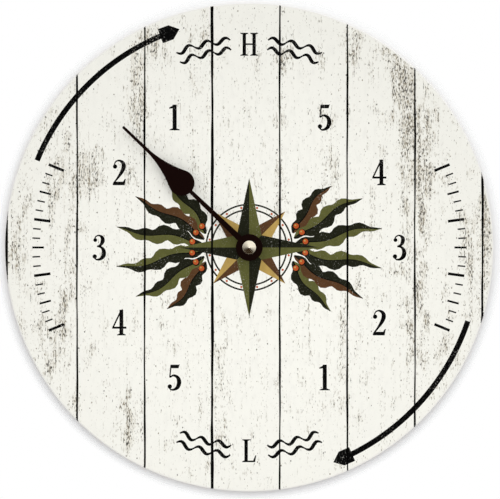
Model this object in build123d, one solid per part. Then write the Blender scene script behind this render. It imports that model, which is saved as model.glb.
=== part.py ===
from build123d import *
import math
import os

# Round wall tide clock: a planked dial board on a battery movement that turns one hand.
# Lengths are millimetres. Pieces are modelled as they lie on the bench: x to the right and y up as the dial
# is read, and z the depth from the wall towards the reader, with the shaft axis at x = y = 0. Each piece is
# turned onto the wall as it is written, so the clock faces -Y and its origin is on the shaft axis in the
# wall's plane.

# Fits and gaps
running_gap = 0.05
press_gap = 0.02
slip_gap = 0.15
air_gap = 0.6
end_shake = 0.1
cut_over = 1.0

# Dial board
dial_diameter = 266.7
board_thickness = 6.35
board_edge = 0.8
plank_width = 36.9
seam_shift = 16.7
seam_width = 0.95
wide_seam_width = 1.4
wide_seam = -1
seam_depth = 0.7

# Hand, straight up before it is turned to its rest angle
hand_rest_angle = 46.3
hand_length = 95.25
hand_thickness = 0.6
hand_edge = 0.12
hub_diameter = 14.6
stem_root_width = 3.5
stem_end_width = 1.9
bulb_diameter = 14.0
bulb_reach = 50.9
bulb_shoulder_angle = 65
neck_width = 1.85
neck_reach = 74.5
tip_width = 1.5

# Hand seat on the arbor
seat_diameter = 2.5
seat_across = 2.0
collet_diameter = 5.2
collet_length = 1.15
hand_lift = 0.2
thread_diameter = 2.0
thread_length = 2.2

# Cap nut
cap_diameter = 7.4
cap_skirt = 0.9
cap_cone = 2.4
cap_swell = 0.15
cap_tip_diameter = 0.6

# Clamp of the board on the bushing
bushing_diameter = 8.0
bushing_over = 0.8
nut_across = 11.0
nut_thickness = 2.0
nut_edge = 0.3
washer_diameter = 13.0
washer_thickness = 0.5
gasket_diameter = 24.0
gasket_thickness = 1.0

# Movement case
case_wall = 1.4
case_floor = 1.6
case_corner = 2.5
pocket_corner = 0.6
partition_thickness = 1.2
post_diameter = 2.6
post_pin_diameter = 1.4
pin_over = 0.2
boss_diameter = 3.4
pivot_hole_depth = 1.4
ledge_side = 1.0
ledge_length = 1.9
thumb_notch_width = 16.0
thumb_notch_depth = 5.0
snap_length = 6.0
snap_reach = 0.9
snap_thickness = 0.8

# Rear cover and hanger
cover_thickness = 1.6
hanger_width = 16.0
hanger_thickness = 3.0
hanger_hole_diameter = 8.0
hanger_neck = 7.5
tongue_width = 14.0
foot_width = 18.0
foot_length = 2.0

# Battery and its contacts
battery_diameter = 14.2
battery_body_length = 49.2
battery_edge = 0.5
nub_diameter = 5.2
nub_length = 1.3
battery_slack = 0.1
bay_slack = 0.3
contact_room = 1.6
contact_thickness = 0.4
contact_width = 9.0
contact_height = 10.6
contact_dimple_diameter = 5.0
contact_spring_diameter = 8.0
strip_width = 1.8
tail_width = 3.0
tail_reach = 8.0

# Train: three stages of wheel and pinion, then the tide wheel and the set wheel
train_module = 0.3
wheel_teeth = 64
pinion_teeth = 8
wheel_thickness = 1.0
pinion_over = 0.4
level_gap = 1.0
arbor_diameter = 1.2
pivot_diameter = 0.8
pivot_length = 1.2
slow_angle = 50
fast_angle = 150
rotor_angle = 200
set_module = 0.4
tide_teeth = 45
set_teeth = 15
tide_wheel_thickness = 1.2
set_wheel_over = 0.2
set_angle = -18
spoke_holes = 5
hole_circle_share = 0.58
hole_size_share = 0.36

# Teeth: addendum and dedendum as shares of the module, half widths at tip and root as shares of the pitch
wheel_tooth_shares = (1.0, 1.2, 0.10, 0.34)
pinion_tooth_shares = (0.9, 1.2, 0.12, 0.28)
tide_tooth_shares = (1.0, 1.2, 0.12, 0.34)
set_tooth_shares = (1.0, 1.2, 0.11, 0.32)

# Tide arbor and clutch
journal_diameter = 3.0
clutch_seat_diameter = 2.0
clutch_collar_diameter = 2.8
clutch_collar = 0.6
shoulder_diameter = 4.4
spring_room = 1.2
spring_thickness = 0.25
spring_diameter = 9.0

# Setting knob
knob_diameter = 11.0
knob_thickness = 2.4
knob_recess = 0.3
knob_gap = 0.5
knob_flutes = 18
flute_diameter = 1.0
stem_diameter = 3.0

# Stepping motor
magnet_diameter = 6.0
magnet_length = 3.0
stator_hole_diameter = 7.0
stator_web = 1.2
stator_thickness = 0.8
stator_arm = 2.6
stator_pin_shift = 1.5
stator_post_diameter = 2.4
stator_pin_diameter = 1.2
coil_length = 16.0
coil_diameter = 6.8
flange_diameter = 8.4
flange_thickness = 0.8
bobbin_diameter = 3.8
core_width = 2.2
core_thickness = 1.0

# Train bridge
bridge_thickness = 1.0
bridge_lobe_diameter = 4.8

# Circuit board
circuit_width = 8.2
circuit_length = 21.8
circuit_thickness = 1.0
circuit_start = 2.2
circuit_post_inset = 3.0
chip_diameter = 5.0
chip_height = 0.8
chip_edge = 0.5
crystal_diameter = 2.0
crystal_length = 6.0
crystal_edge = 0.25

wall_turn = 90
FULL_TURN = 360
BASE = (Align.CENTER, Align.CENTER, Align.MIN)
CORNER = (Align.MIN, Align.MIN, Align.MIN)


def polar(radius, angle):
    """Point at a radius and an angle in degrees from the x axis."""
    return radius * math.cos(math.radians(angle)), radius * math.sin(math.radians(angle))


def step(start, radius, angle):
    """Point reached from start."""
    across, up = polar(radius, angle)
    return start[0] + across, start[1] + up


def tip_radius(teeth, module, shares):
    """Radius over the tips of a gear."""
    return module * (teeth / 2 + shares[0])


# Train layout
train_distance = train_module * (wheel_teeth + pinion_teeth) / 2
set_distance = set_module * (tide_teeth + set_teeth) / 2
shaft = (0, 0)
slow_centre = step(shaft, train_distance, slow_angle)
fast_centre = step(slow_centre, train_distance, fast_angle)
rotor_centre = step(fast_centre, train_distance, rotor_angle)
set_centre = step(shaft, set_distance, set_angle)
wheel_reach = tip_radius(wheel_teeth, train_module, wheel_tooth_shares)
tide_reach = tip_radius(tide_teeth, set_module, tide_tooth_shares)
set_reach = tip_radius(set_teeth, set_module, set_tooth_shares)

# Depth levels from the wall, rear to front
bridge_rear = max(hanger_thickness, knob_recess + knob_thickness + end_shake)
bridge_front = bridge_rear + bridge_thickness
fast_level = bridge_front + level_gap
slow_level = fast_level + wheel_thickness + level_gap
clutch_level = slow_level + wheel_thickness + level_gap
spring_level = clutch_level + wheel_thickness
tide_level = spring_level + spring_room
boss_rear = tide_level + tide_wheel_thickness + level_gap
floor_rear = max(boss_rear + level_gap, battery_diameter + 2 * battery_slack)
case_front = floor_rear + case_floor
board_rear = case_front + gasket_thickness
board_front = board_rear + board_thickness
washer_front = board_front + washer_thickness
nut_front = washer_front + nut_thickness
bushing_end = nut_front + bushing_over
collet_rear = bushing_end + hand_lift
hand_rear = collet_rear + collet_length
hand_front = hand_rear + hand_thickness
stator_rear = slow_level + air_gap
stator_front = stator_rear + stator_thickness
core_front = stator_front + core_thickness
coil_level = (stator_front + core_front) / 2
magnet_rear = stator_rear - air_gap
circuit_rear = fast_level
circuit_front = circuit_rear + circuit_thickness

# Plan of the case
coil_x = rotor_centre[0] - stator_hole_diameter / 2 - stator_web - flange_diameter / 2 - end_shake
coil_top = rotor_centre[1] + coil_length / 2 + flange_thickness
coil_bottom = rotor_centre[1] - coil_length / 2 - flange_thickness
stator_top = coil_top + slip_gap + stator_arm
stator_bottom = coil_bottom - slip_gap - stator_arm
circuit_left = slow_centre[0] + wheel_reach + level_gap
battery_length = battery_body_length + nub_length
inner_half = max(
    battery_length / 2 + contact_room,
    flange_diameter / 2 + air_gap - coil_x,
    circuit_left + circuit_width + running_gap + contact_thickness,
)
circuit_right = inner_half - contact_thickness - running_gap
partition_top = -max(wheel_reach, tide_reach) - air_gap
partition_bottom = partition_top - partition_thickness
battery_y = partition_bottom - bay_slack - battery_diameter / 2
battery_level = floor_rear - battery_slack - battery_diameter / 2
inner_bottom = battery_y - battery_diameter / 2 - bay_slack
upper_post_y = stator_top + air_gap + post_diameter / 2
lower_post_y = partition_top + air_gap + bridge_lobe_diameter / 2
inner_top = max(
    fast_centre[1] + wheel_reach + air_gap + foot_length,
    upper_post_y + bridge_lobe_diameter / 2 + slip_gap + ledge_length,
    circuit_start + circuit_length + ledge_length + slip_gap,
)
case_half = inner_half + case_wall
case_top = inner_top + case_wall
case_bottom = inner_bottom - case_wall
case_middle = (case_top + case_bottom) / 2
hanger_y = case_top + hanger_neck
bridge_posts = (
    (rotor_centre[0] - pivot_diameter, lower_post_y),
    (set_centre[0] + set_reach + post_diameter / 2 + level_gap, lower_post_y),
    (circuit_left - air_gap - post_diameter / 2, upper_post_y),
    (rotor_centre[0], upper_post_y),
)
stator_posts = tuple(
    (rotor_centre[0] - stator_pin_shift, y)
    for y in (stator_bottom + stator_arm / 2, stator_top - stator_arm / 2)
)
circuit_x = circuit_right - circuit_width / 2
circuit_posts = tuple(
    (circuit_x, y)
    for y in (circuit_start + circuit_post_inset, circuit_start + circuit_length - circuit_post_inset)
)
snap_y = (inner_top + partition_top) / 2


def rod(centre, diameter, low, high):
    """Round bar along the depth."""
    return Pos(centre[0], centre[1], low) * Cylinder(diameter / 2, high - low, align=BASE)


def bore(centre, diameter, low, high):
    """Round cutter along the depth that overruns both ends."""
    return rod(centre, diameter, low - cut_over, high + cut_over)


def slab(left, right, bottom, top, low, high):
    """Block between two x, two y and two depth values."""
    return Pos(left, bottom, low) * Box(right - left, top - bottom, high - low, align=CORNER)


def cross_bar(centre, diameter, low, high):
    """Round bar along y, from low to high, at an x and a depth."""
    bar = Cylinder(diameter / 2, high - low, align=BASE)
    return Pos(centre[0], high, centre[1]) * Rot(wall_turn, 0, 0) * bar


def end_bar(diameter, near, far):
    """Round bar along x on the battery's axis."""
    bar = Cylinder(diameter / 2, abs(far - near), align=BASE)
    return Pos(min(near, far), battery_y, battery_level) * Rot(0, wall_turn, 0) * bar


def turned(outline):
    """Solid of revolution about the shaft from an outline of radius and depth."""
    return revolve(Plane.XZ * make_face(outline), Axis.Z)


def gear(centre, teeth, module, shares, facing, low, high):
    """Toothed disc with straight flanks and the middle of a tooth at the angle facing."""
    dedendum_share, tip_share, root_share = shares[1:]
    pitch = FULL_TURN / teeth
    tip = tip_radius(teeth, module, shares)
    root = module * (teeth / 2 - dedendum_share)
    points = []
    for tooth in range(teeth):
        middle = facing + pitch * tooth
        for radius, share in ((root, -root_share), (tip, -tip_share), (tip, tip_share), (root, root_share)):
            points.append(polar(radius, middle + share * pitch))
    face = make_face(Polyline(*points, close=True))
    return Pos(centre[0], centre[1], low) * extrude(face, high - low)


def wheel(centre, teeth, module, shares, facing, low, high):
    """Gear with a ring of lightening holes."""
    reach = tip_radius(teeth, module, shares)
    blank = gear(centre, teeth, module, shares, facing, low, high)
    holes = []
    for hole in range(spoke_holes):
        place = step(centre, reach * hole_circle_share, facing + FULL_TURN * hole / spoke_holes)
        holes.append(bore(place, reach * hole_size_share, low, high))
    return blank - holes


def pinion(centre, towards, low, high):
    """Pinion with the middle of a tooth space facing the wheel that it meets."""
    angle = math.degrees(math.atan2(towards[1] - centre[1], towards[0] - centre[0]))
    half_pitch = FULL_TURN / pinion_teeth / 2
    return gear(centre, pinion_teeth, train_module, pinion_tooth_shares, angle + half_pitch, low, high)


def train_wheel(centre, angle, low):
    """Large wheel of the train with the middle of a tooth towards the pinion that it meets."""
    return wheel(centre, wheel_teeth, train_module, wheel_tooth_shares, angle, low, low + wheel_thickness)


def spindle(centre):
    """Arbor between the bridge and the case, with its two pivots."""
    barrel = rod(centre, arbor_diameter, bridge_front + end_shake, boss_rear - end_shake)
    return barrel + rod(centre, pivot_diameter, bridge_rear + end_shake, boss_rear + pivot_length)


def dial_board():
    """Round board with a plank seam cut across its face at each plank's width."""
    board = rod(shaft, dial_diameter, board_rear, board_front)
    board = chamfer(board.edges().group_by(Axis.Z)[-1], board_edge)
    half = dial_diameter / 2 - seam_width
    first = math.ceil((-half - seam_shift) / plank_width)
    last = math.floor((half - seam_shift) / plank_width)
    cuts = [bore(shaft, bushing_diameter + 2 * slip_gap, board_rear, board_front)]
    for plank in range(first, last + 1):
        middle = seam_shift + plank * plank_width
        width = wide_seam_width if plank == wide_seam else seam_width
        section = Polyline(
            (middle - width, board_front + seam_depth),
            (middle + width, board_front + seam_depth),
            (middle, board_front - seam_depth),
            close=True,
        )
        cuts.append(extrude(Plane.XZ * make_face(section), dial_diameter, both=True))
    return board - cuts


def seat_shape(gap):
    """Section of the arbor's hand seat: a round with two flats."""
    return Circle(seat_diameter / 2 + gap) & Rectangle(seat_across + 2 * gap, seat_diameter + 2 * gap)


def spade_tip():
    """Outline from the bulb's shoulders, through the drawn-in neck, to the rounded tip."""
    lean = math.radians(bulb_shoulder_angle)
    shoulder = (bulb_diameter / 2 * math.sin(lean), bulb_reach + bulb_diameter / 2 * math.cos(lean))
    neck = (neck_width / 2, neck_reach)
    tip = (tip_width / 2, hand_length - tip_width / 2)
    side = [
        TangentArc(shoulder, neck, tangent=(-math.cos(lean), math.sin(lean))),
        Line(neck, tip),
    ]
    other_side = [mirror(edge, about=Plane.YZ) for edge in side]
    crown = ThreePointArc(tip, (0, hand_length), (-tip[0], tip[1]))
    base = Line((-shoulder[0], shoulder[1]), shoulder)
    return make_face(side + other_side + [crown, base])


def tide_hand():
    """Spade hand cut from sheet, with a round hub and a flatted hole."""
    stem = make_face(Polyline(
        (-stem_root_width / 2, 0),
        (stem_root_width / 2, 0),
        (stem_end_width / 2, bulb_reach),
        (-stem_end_width / 2, bulb_reach),
        close=True,
    ))
    bulb = Pos(0, bulb_reach) * Circle(bulb_diameter / 2)
    blank = Circle(hub_diameter / 2) + stem + bulb + spade_tip()
    sheet = extrude(blank, hand_thickness)
    sheet = chamfer(sheet.edges().group_by(Axis.Z)[-1], hand_edge)
    sheet -= Pos(0, 0, -cut_over) * extrude(seat_shape(press_gap), hand_thickness + 2 * cut_over)
    return Pos(0, 0, hand_rear) * Rot(0, 0, hand_rest_angle) * sheet


def hand_collet():
    """Bush riveted under the hand."""
    bush = rod(shaft, collet_diameter, collet_rear, hand_rear)
    hole = extrude(seat_shape(press_gap), collet_length + 2 * cut_over)
    return bush - Pos(0, 0, collet_rear - cut_over) * Rot(0, 0, hand_rest_angle) * hole


def cap_nut():
    """Cone-shaped nut with slightly swelled flanks, threaded on the end of the arbor."""
    skirt = hand_front + cap_skirt
    top = skirt + cap_cone
    radius = cap_diameter / 2
    tip = cap_tip_diameter / 2
    outline = [
        Line((0, hand_front), (radius, hand_front)),
        Line((radius, hand_front), (radius, skirt)),
        SagittaArc((tip, top), (radius, skirt), cap_swell),
        Line((tip, top), (0, top)),
        Line((0, top), (0, hand_front)),
    ]
    hole = thread_diameter + 2 * press_gap
    return turned(outline) - rod(shaft, hole, hand_front - cut_over, hand_front + thread_length + end_shake)


def tide_arbor():
    """Stepped arbor: rear pivot, clutch seat, shoulder, journal, hand seat and thread."""
    steps = (
        (pivot_diameter, bridge_rear + end_shake, bridge_front + end_shake),
        (arbor_diameter, bridge_front + end_shake, clutch_level - end_shake),
        (clutch_collar_diameter, clutch_level - clutch_collar - end_shake, clutch_level - end_shake),
        (clutch_seat_diameter, clutch_level - end_shake, tide_level + tide_wheel_thickness),
        (shoulder_diameter, tide_level + tide_wheel_thickness, floor_rear - end_shake),
        (journal_diameter, floor_rear - end_shake, collet_rear),
    )
    arbor = rod(shaft, thread_diameter, hand_front, hand_front + thread_length)
    seat = extrude(seat_shape(0), hand_front - collet_rear)
    arbor += Pos(0, 0, collet_rear) * Rot(0, 0, hand_rest_angle) * seat
    for diameter, low, high in steps:
        arbor += rod(shaft, diameter, low, high)
    return arbor


def tide_wheel():
    """Wheel pressed on the arbor, with a tooth towards the set wheel."""
    high = tide_level + tide_wheel_thickness
    disc = wheel(shaft, tide_teeth, set_module, tide_tooth_shares, set_angle, tide_level, high)
    return disc - bore(shaft, clutch_seat_diameter + 2 * press_gap, tide_level, high)


def clutch_spring():
    """Dished friction spring that bears on the clutch wheel by its rim."""
    inner = clutch_seat_diameter / 2 + running_gap
    outer = spring_diameter / 2
    rear = spring_level + running_gap
    front = tide_level - running_gap
    return turned(Polyline(
        (inner, front),
        (inner, front - spring_thickness),
        (outer, rear),
        (outer, rear + spring_thickness),
        close=True,
    ))


def clutch_wheel():
    """Wheel that runs loose on the arbor and drives it through the spring."""
    disc = train_wheel(shaft, slow_angle, clutch_level)
    return disc - bore(shaft, clutch_seat_diameter + 2 * running_gap, clutch_level, spring_level)


def slow_wheel():
    """Wheel and pinion that drive the clutch wheel."""
    disc = train_wheel(slow_centre, fast_angle, slow_level)
    leaves = pinion(slow_centre, shaft, slow_level + wheel_thickness, spring_level + pinion_over)
    return spindle(slow_centre) + disc + leaves


def fast_wheel():
    """Wheel and pinion that drive the slow wheel."""
    disc = train_wheel(fast_centre, rotor_angle, fast_level)
    leaf_end = slow_level + wheel_thickness + pinion_over
    leaves = pinion(fast_centre, slow_centre, fast_level + wheel_thickness, leaf_end)
    return spindle(fast_centre) + disc + leaves


def rotor_pinion():
    """Rotor spindle with the pinion that drives the fast wheel."""
    leaf_end = fast_level + wheel_thickness + pinion_over
    leaves = pinion(rotor_centre, fast_centre, fast_level - pinion_over, leaf_end)
    return spindle(rotor_centre) + leaves


def rotor_magnet():
    """Ring magnet on the rotor spindle."""
    front = magnet_rear + magnet_length
    ring = rod(rotor_centre, magnet_diameter, magnet_rear, front)
    return ring - bore(rotor_centre, arbor_diameter + 2 * press_gap, magnet_rear, front)


def stator_plate():
    """Soft iron plate round the rotor with two arms to the ends of the coil's core."""
    half = stator_hole_diameter / 2 + stator_web
    left = coil_x - core_width / 2 - stator_web
    right = rotor_centre[0] + half
    plate = slab(rotor_centre[0] - half, right, stator_bottom, stator_top, stator_rear, stator_front)
    for low in (stator_bottom, stator_top - stator_arm):
        plate += slab(left, right, low, low + stator_arm, stator_rear, stator_front)
    cuts = [bore(rotor_centre, stator_hole_diameter, stator_rear, stator_front)]
    for place in stator_posts:
        cuts.append(bore(place, stator_pin_diameter + 2 * running_gap, stator_rear, stator_front))
    return plate - cuts


def coil_core():
    """Flat bar through the coil, lying on the stator's arms."""
    half = core_width / 2
    return slab(coil_x - half, coil_x + half, stator_bottom, stator_top, stator_front, core_front)


def coil_bobbin():
    """Bobbin with two round flanges and a flat hole for the core."""
    place = (coil_x, coil_level)
    spool = cross_bar(place, bobbin_diameter, coil_bottom, coil_top)
    spool += cross_bar(place, flange_diameter, coil_bottom, coil_bottom + flange_thickness)
    spool += cross_bar(place, flange_diameter, coil_top - flange_thickness, coil_top)
    half = core_width / 2 + running_gap
    hole = slab(
        coil_x - half, coil_x + half,
        coil_bottom - cut_over, coil_top + cut_over,
        stator_front - running_gap, core_front + running_gap,
    )
    return spool - hole


def coil_winding():
    """Closed winding between the bobbin's flanges."""
    place = (coil_x, coil_level)
    low = coil_bottom + flange_thickness + press_gap
    high = coil_top - flange_thickness - press_gap
    hole = cross_bar(place, bobbin_diameter + 2 * press_gap, low - cut_over, high + cut_over)
    return cross_bar(place, coil_diameter, low, high) - hole


def train_bridge():
    """Plate on the four posts that carries the rear pivots of the train."""
    corners = [Pos(x, y) * Circle(bridge_lobe_diameter / 2) for x, y in bridge_posts]
    outline = make_hull([edge for corner in corners for edge in corner.edges()])
    plate = Pos(0, 0, bridge_rear) * extrude(outline, bridge_thickness)
    holes = [(set_centre, stem_diameter + 2 * running_gap)]
    pivots = (shaft, slow_centre, fast_centre, rotor_centre)
    holes += [(place, pivot_diameter + 2 * running_gap) for place in pivots]
    holes += [(place, post_pin_diameter + 2 * running_gap) for place in bridge_posts]
    return plate - [bore(place, size, bridge_rear, bridge_front) for place, size in holes]


def circuit_board():
    """Board for the electronics on two case pins."""
    board = slab(
        circuit_right - circuit_width, circuit_right,
        circuit_start, circuit_start + circuit_length,
        circuit_rear, circuit_front,
    )
    pin_hole = stator_pin_diameter + 2 * running_gap
    return board - [bore(place, pin_hole, circuit_rear, circuit_front) for place in circuit_posts]


def chip_cover():
    """Low drop of resin over the chip."""
    middle = (circuit_x, circuit_start + circuit_length / 2)
    drop = rod(middle, chip_diameter, circuit_rear - chip_height, circuit_rear)
    return chamfer(drop.edges().group_by(Axis.Z)[0], chip_edge)


def quartz_crystal():
    """Small can that lies on the circuit board."""
    low = circuit_start + (circuit_length + chip_diameter) / 2 + air_gap
    level = circuit_rear - crystal_diameter / 2 - press_gap
    can = cross_bar((circuit_right - crystal_diameter, level), crystal_diameter, low, low + crystal_length)
    return chamfer(can.edges().filter_by(GeomType.CIRCLE), crystal_edge)


def contact_plate(side):
    """Flat of a battery contact against the end wall of the bay."""
    near = inner_half - contact_thickness
    return slab(
        min(side * near, side * inner_half), max(side * near, side * inner_half),
        battery_y - contact_height / 2, battery_y + contact_height / 2,
        battery_level - contact_width / 2, battery_level + contact_width / 2,
    )


def contact_plus():
    """Contact at the button end, with a dimple and a tail to the circuit board's edge."""
    plate = contact_plate(1)
    near = inner_half - contact_thickness
    plate += end_bar(contact_dimple_diameter, battery_length / 2 + running_gap, near)
    low = (circuit_rear + circuit_front - tail_width) / 2
    tail = slab(near, inner_half, battery_y, tail_reach, low, low + tail_width)
    return plate + tail


def contact_minus():
    """Contact at the flat end, with a cone and a strip along the partition to the circuit board."""
    near = inner_half - contact_thickness
    cone_length = near - battery_length / 2 - running_gap
    cone = Cone(contact_spring_diameter / 2, contact_dimple_diameter / 2, cone_length, align=BASE)
    cone = Pos(-near, battery_y, battery_level) * Rot(0, wall_turn, 0) * cone
    high = floor_rear - slip_gap
    low = high - strip_width
    strip_bottom = partition_top + running_gap
    strip_top = strip_bottom + contact_thickness
    riser = circuit_right - contact_thickness - stator_web
    tab = circuit_start + contact_thickness
    strip = slab(-inner_half, -near, battery_y, battery_y + contact_height / 2, battery_level, high)
    strip += slab(-inner_half, -near, battery_y, strip_top, low, high)
    strip += slab(-inner_half, riser, strip_bottom, strip_top, low, high)
    strip += slab(riser - contact_thickness, riser, strip_bottom, tab + contact_thickness, low, high)
    strip += slab(riser - strip_width, riser, tab, tab + contact_thickness, circuit_front + press_gap, high)
    return contact_plate(-1) + cone + strip


def battery():
    """Round cell with its button."""
    end = battery_length / 2 - nub_length
    can = end_bar(battery_diameter, -battery_length / 2, end)
    can = chamfer(can.edges().filter_by(GeomType.CIRCLE), battery_edge)
    return can + end_bar(nub_diameter, end, battery_length / 2)


def set_knob():
    """Fluted knob with the stem that passes through the bridge."""
    front = knob_recess + knob_thickness
    knob = rod(set_centre, knob_diameter, knob_recess, front)
    flutes = []
    for flute in range(knob_flutes):
        place = step(set_centre, knob_diameter / 2, FULL_TURN * flute / knob_flutes)
        flutes.append(bore(place, flute_diameter, knob_recess, front))
    knob -= flutes
    knob += rod(set_centre, stem_diameter, front, tide_level - set_wheel_over)
    knob += rod(set_centre, clutch_seat_diameter, front, boss_rear - end_shake)
    return knob + rod(set_centre, pivot_diameter, front, boss_rear + pivot_length)


def set_wheel():
    """Wheel on the knob's stem, with a tooth space towards the tide wheel."""
    facing = set_angle + FULL_TURN / 2 + FULL_TURN / set_teeth / 2
    low = tide_level - set_wheel_over
    high = tide_level + tide_wheel_thickness + set_wheel_over
    disc = gear(set_centre, set_teeth, set_module, set_tooth_shares, facing, low, high)
    return disc - bore(set_centre, clutch_seat_diameter + 2 * press_gap, low, high)


def snap(side, gap):
    """Tongue of the cover in a window of the case's side wall."""
    near = side * (inner_half - slip_gap - cut_over)
    far = side * (inner_half + snap_reach + gap)
    middle = cover_thickness / 2
    return slab(
        min(near, far), max(near, far),
        snap_y - snap_length / 2 - gap, snap_y + snap_length / 2 + gap,
        middle - snap_thickness / 2 - gap, middle + snap_thickness / 2 + gap,
    )


def rear_cover():
    """Flat lid over the train, with a round hole for the knob and a tongue on each side."""
    bottom = (partition_top + partition_bottom) / 2
    top = inner_top - slip_gap
    half = inner_half - slip_gap
    outline = Pos(0, (top + bottom) / 2) * RectangleRounded(2 * half, top - bottom, pocket_corner)
    lid = extrude(outline, cover_thickness)
    lid -= bore(set_centre, knob_diameter + 2 * knob_gap, 0, cover_thickness)
    return lid + snap(-1, 0) + snap(1, 0)


def hanger_loop():
    """Loop with the nail hole on a stepped tongue that the cover holds in the case."""
    half = hanger_width / 2
    seat = case_top + running_gap
    neck = Pos(0, (hanger_y + seat) / 2) * Rectangle(hanger_width, hanger_y - seat)
    plate = extrude(Pos(0, hanger_y) * Circle(half) + neck, hanger_thickness)
    rear = cover_thickness + running_gap
    foot_top = inner_top - slip_gap
    plate += slab(-tongue_width / 2, tongue_width / 2, foot_top, seat, rear, hanger_thickness)
    plate += slab(-foot_width / 2, foot_width / 2, foot_top - foot_length, foot_top, rear, hanger_thickness)
    return plate - bore((0, hanger_y), hanger_hole_diameter, 0, hanger_thickness)


def movement_case():
    """Tray with the battery bay, the train's posts and bosses, and the bushing through the board."""
    outline = Pos(0, case_middle) * RectangleRounded(2 * case_half, case_top - case_bottom, case_corner)
    pocket = Pos(0, (inner_top + inner_bottom) / 2) * RectangleRounded(
        2 * inner_half, inner_top - inner_bottom, pocket_corner)
    tray = extrude(outline, case_front)
    tray -= Pos(0, 0, -cut_over) * extrude(pocket, floor_rear + cut_over)
    wall_end = inner_half - contact_thickness - slip_gap
    tray += slab(-wall_end, wall_end, partition_bottom, partition_top, cover_thickness, floor_rear)
    for side in (-1, 1):
        near = side * (inner_half - ledge_side)
        far = side * (inner_half + running_gap)
        tray += slab(
            min(near, far), max(near, far),
            inner_top - ledge_length, inner_top + running_gap,
            cover_thickness, floor_rear,
        )
        ledge = side * (foot_width - ledge_side) / 2
        tray += slab(
            ledge - ledge_side / 2, ledge + ledge_side / 2,
            inner_top - ledge_length, inner_top + running_gap,
            hanger_thickness, floor_rear,
        )
    post_sets = (
        (bridge_posts, post_diameter, bridge_front, post_pin_diameter, bridge_rear),
        (stator_posts, stator_post_diameter, stator_front, stator_pin_diameter, stator_rear),
        (circuit_posts, stator_post_diameter, circuit_front, stator_pin_diameter, circuit_rear),
    )
    for places, post, seat, pin, end in post_sets:
        for place in places:
            tray += rod(place, post, seat, floor_rear)
            tray += rod(place, pin, end - pin_over, floor_rear)
    tray += rod(shaft, bushing_diameter, floor_rear, bushing_end)
    pivots = (slow_centre, fast_centre, rotor_centre, set_centre)
    for place in pivots:
        tray += rod(place, boss_diameter, boss_rear, floor_rear)
    cuts = [bore(shaft, journal_diameter + 2 * running_gap, floor_rear, bushing_end)]
    pivot_hole = pivot_diameter + 2 * running_gap
    for place in pivots:
        cuts.append(rod(place, pivot_hole, boss_rear - cut_over, boss_rear + pivot_hole_depth))
    slot = tongue_width / 2 + slip_gap
    slot_end = hanger_thickness + running_gap
    cuts.append(slab(-slot, slot, inner_top - running_gap, case_top + cut_over, -cut_over, slot_end))
    thumb = thumb_notch_width / 2
    notch_top = inner_bottom + running_gap
    cuts.append(slab(-thumb, thumb, case_bottom - cut_over, notch_top, -cut_over, thumb_notch_depth))
    cuts += [snap(-1, slip_gap), snap(1, slip_gap)]
    return tray - cuts


def dial_gasket():
    """Rubber ring between the case and the board."""
    ring = rod(shaft, gasket_diameter, case_front, board_rear)
    return ring - bore(shaft, bushing_diameter + 2 * slip_gap, case_front, board_rear)


def dial_washer():
    """Washer under the nut."""
    ring = rod(shaft, washer_diameter, board_front, washer_front)
    return ring - bore(shaft, bushing_diameter + 2 * slip_gap, board_front, washer_front)


def dial_nut():
    """Hexagon nut on the bushing."""
    blank = RegularPolygon(nut_across / 2, 6, major_radius=False)
    nut = Pos(0, 0, washer_front) * extrude(blank, nut_thickness)
    nut = chamfer(nut.edges().group_by(Axis.Z)[-1], nut_edge)
    return nut - bore(shaft, bushing_diameter + 2 * running_gap, washer_front, nut_front)


PIECES = (
    dial_board, tide_hand, hand_collet, cap_nut, tide_arbor, tide_wheel, clutch_spring, clutch_wheel,
    slow_wheel, fast_wheel, rotor_pinion, rotor_magnet, stator_plate, coil_core, coil_bobbin, coil_winding,
    train_bridge, circuit_board, chip_cover, quartz_crystal, contact_plus, contact_minus, battery,
    set_knob, set_wheel, rear_cover, hanger_loop, movement_case, dial_gasket, dial_washer, dial_nut,
)

os.makedirs("parts", exist_ok=True)
for piece in PIECES:
    export_step(piece().rotate(Axis.X, wall_turn), f"parts/{piece.__name__}.step")
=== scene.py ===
"""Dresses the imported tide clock: dial board and its print, hand, movement, light, camera and stage."""

import logging
import math
from dataclasses import dataclass, field
from enum import Enum
from functools import cache
from typing import ClassVar, Iterable, Sequence, Union

import bmesh
import bpy
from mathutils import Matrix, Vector
from mathutils.geometry import delaunay_2d_cdt


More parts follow.
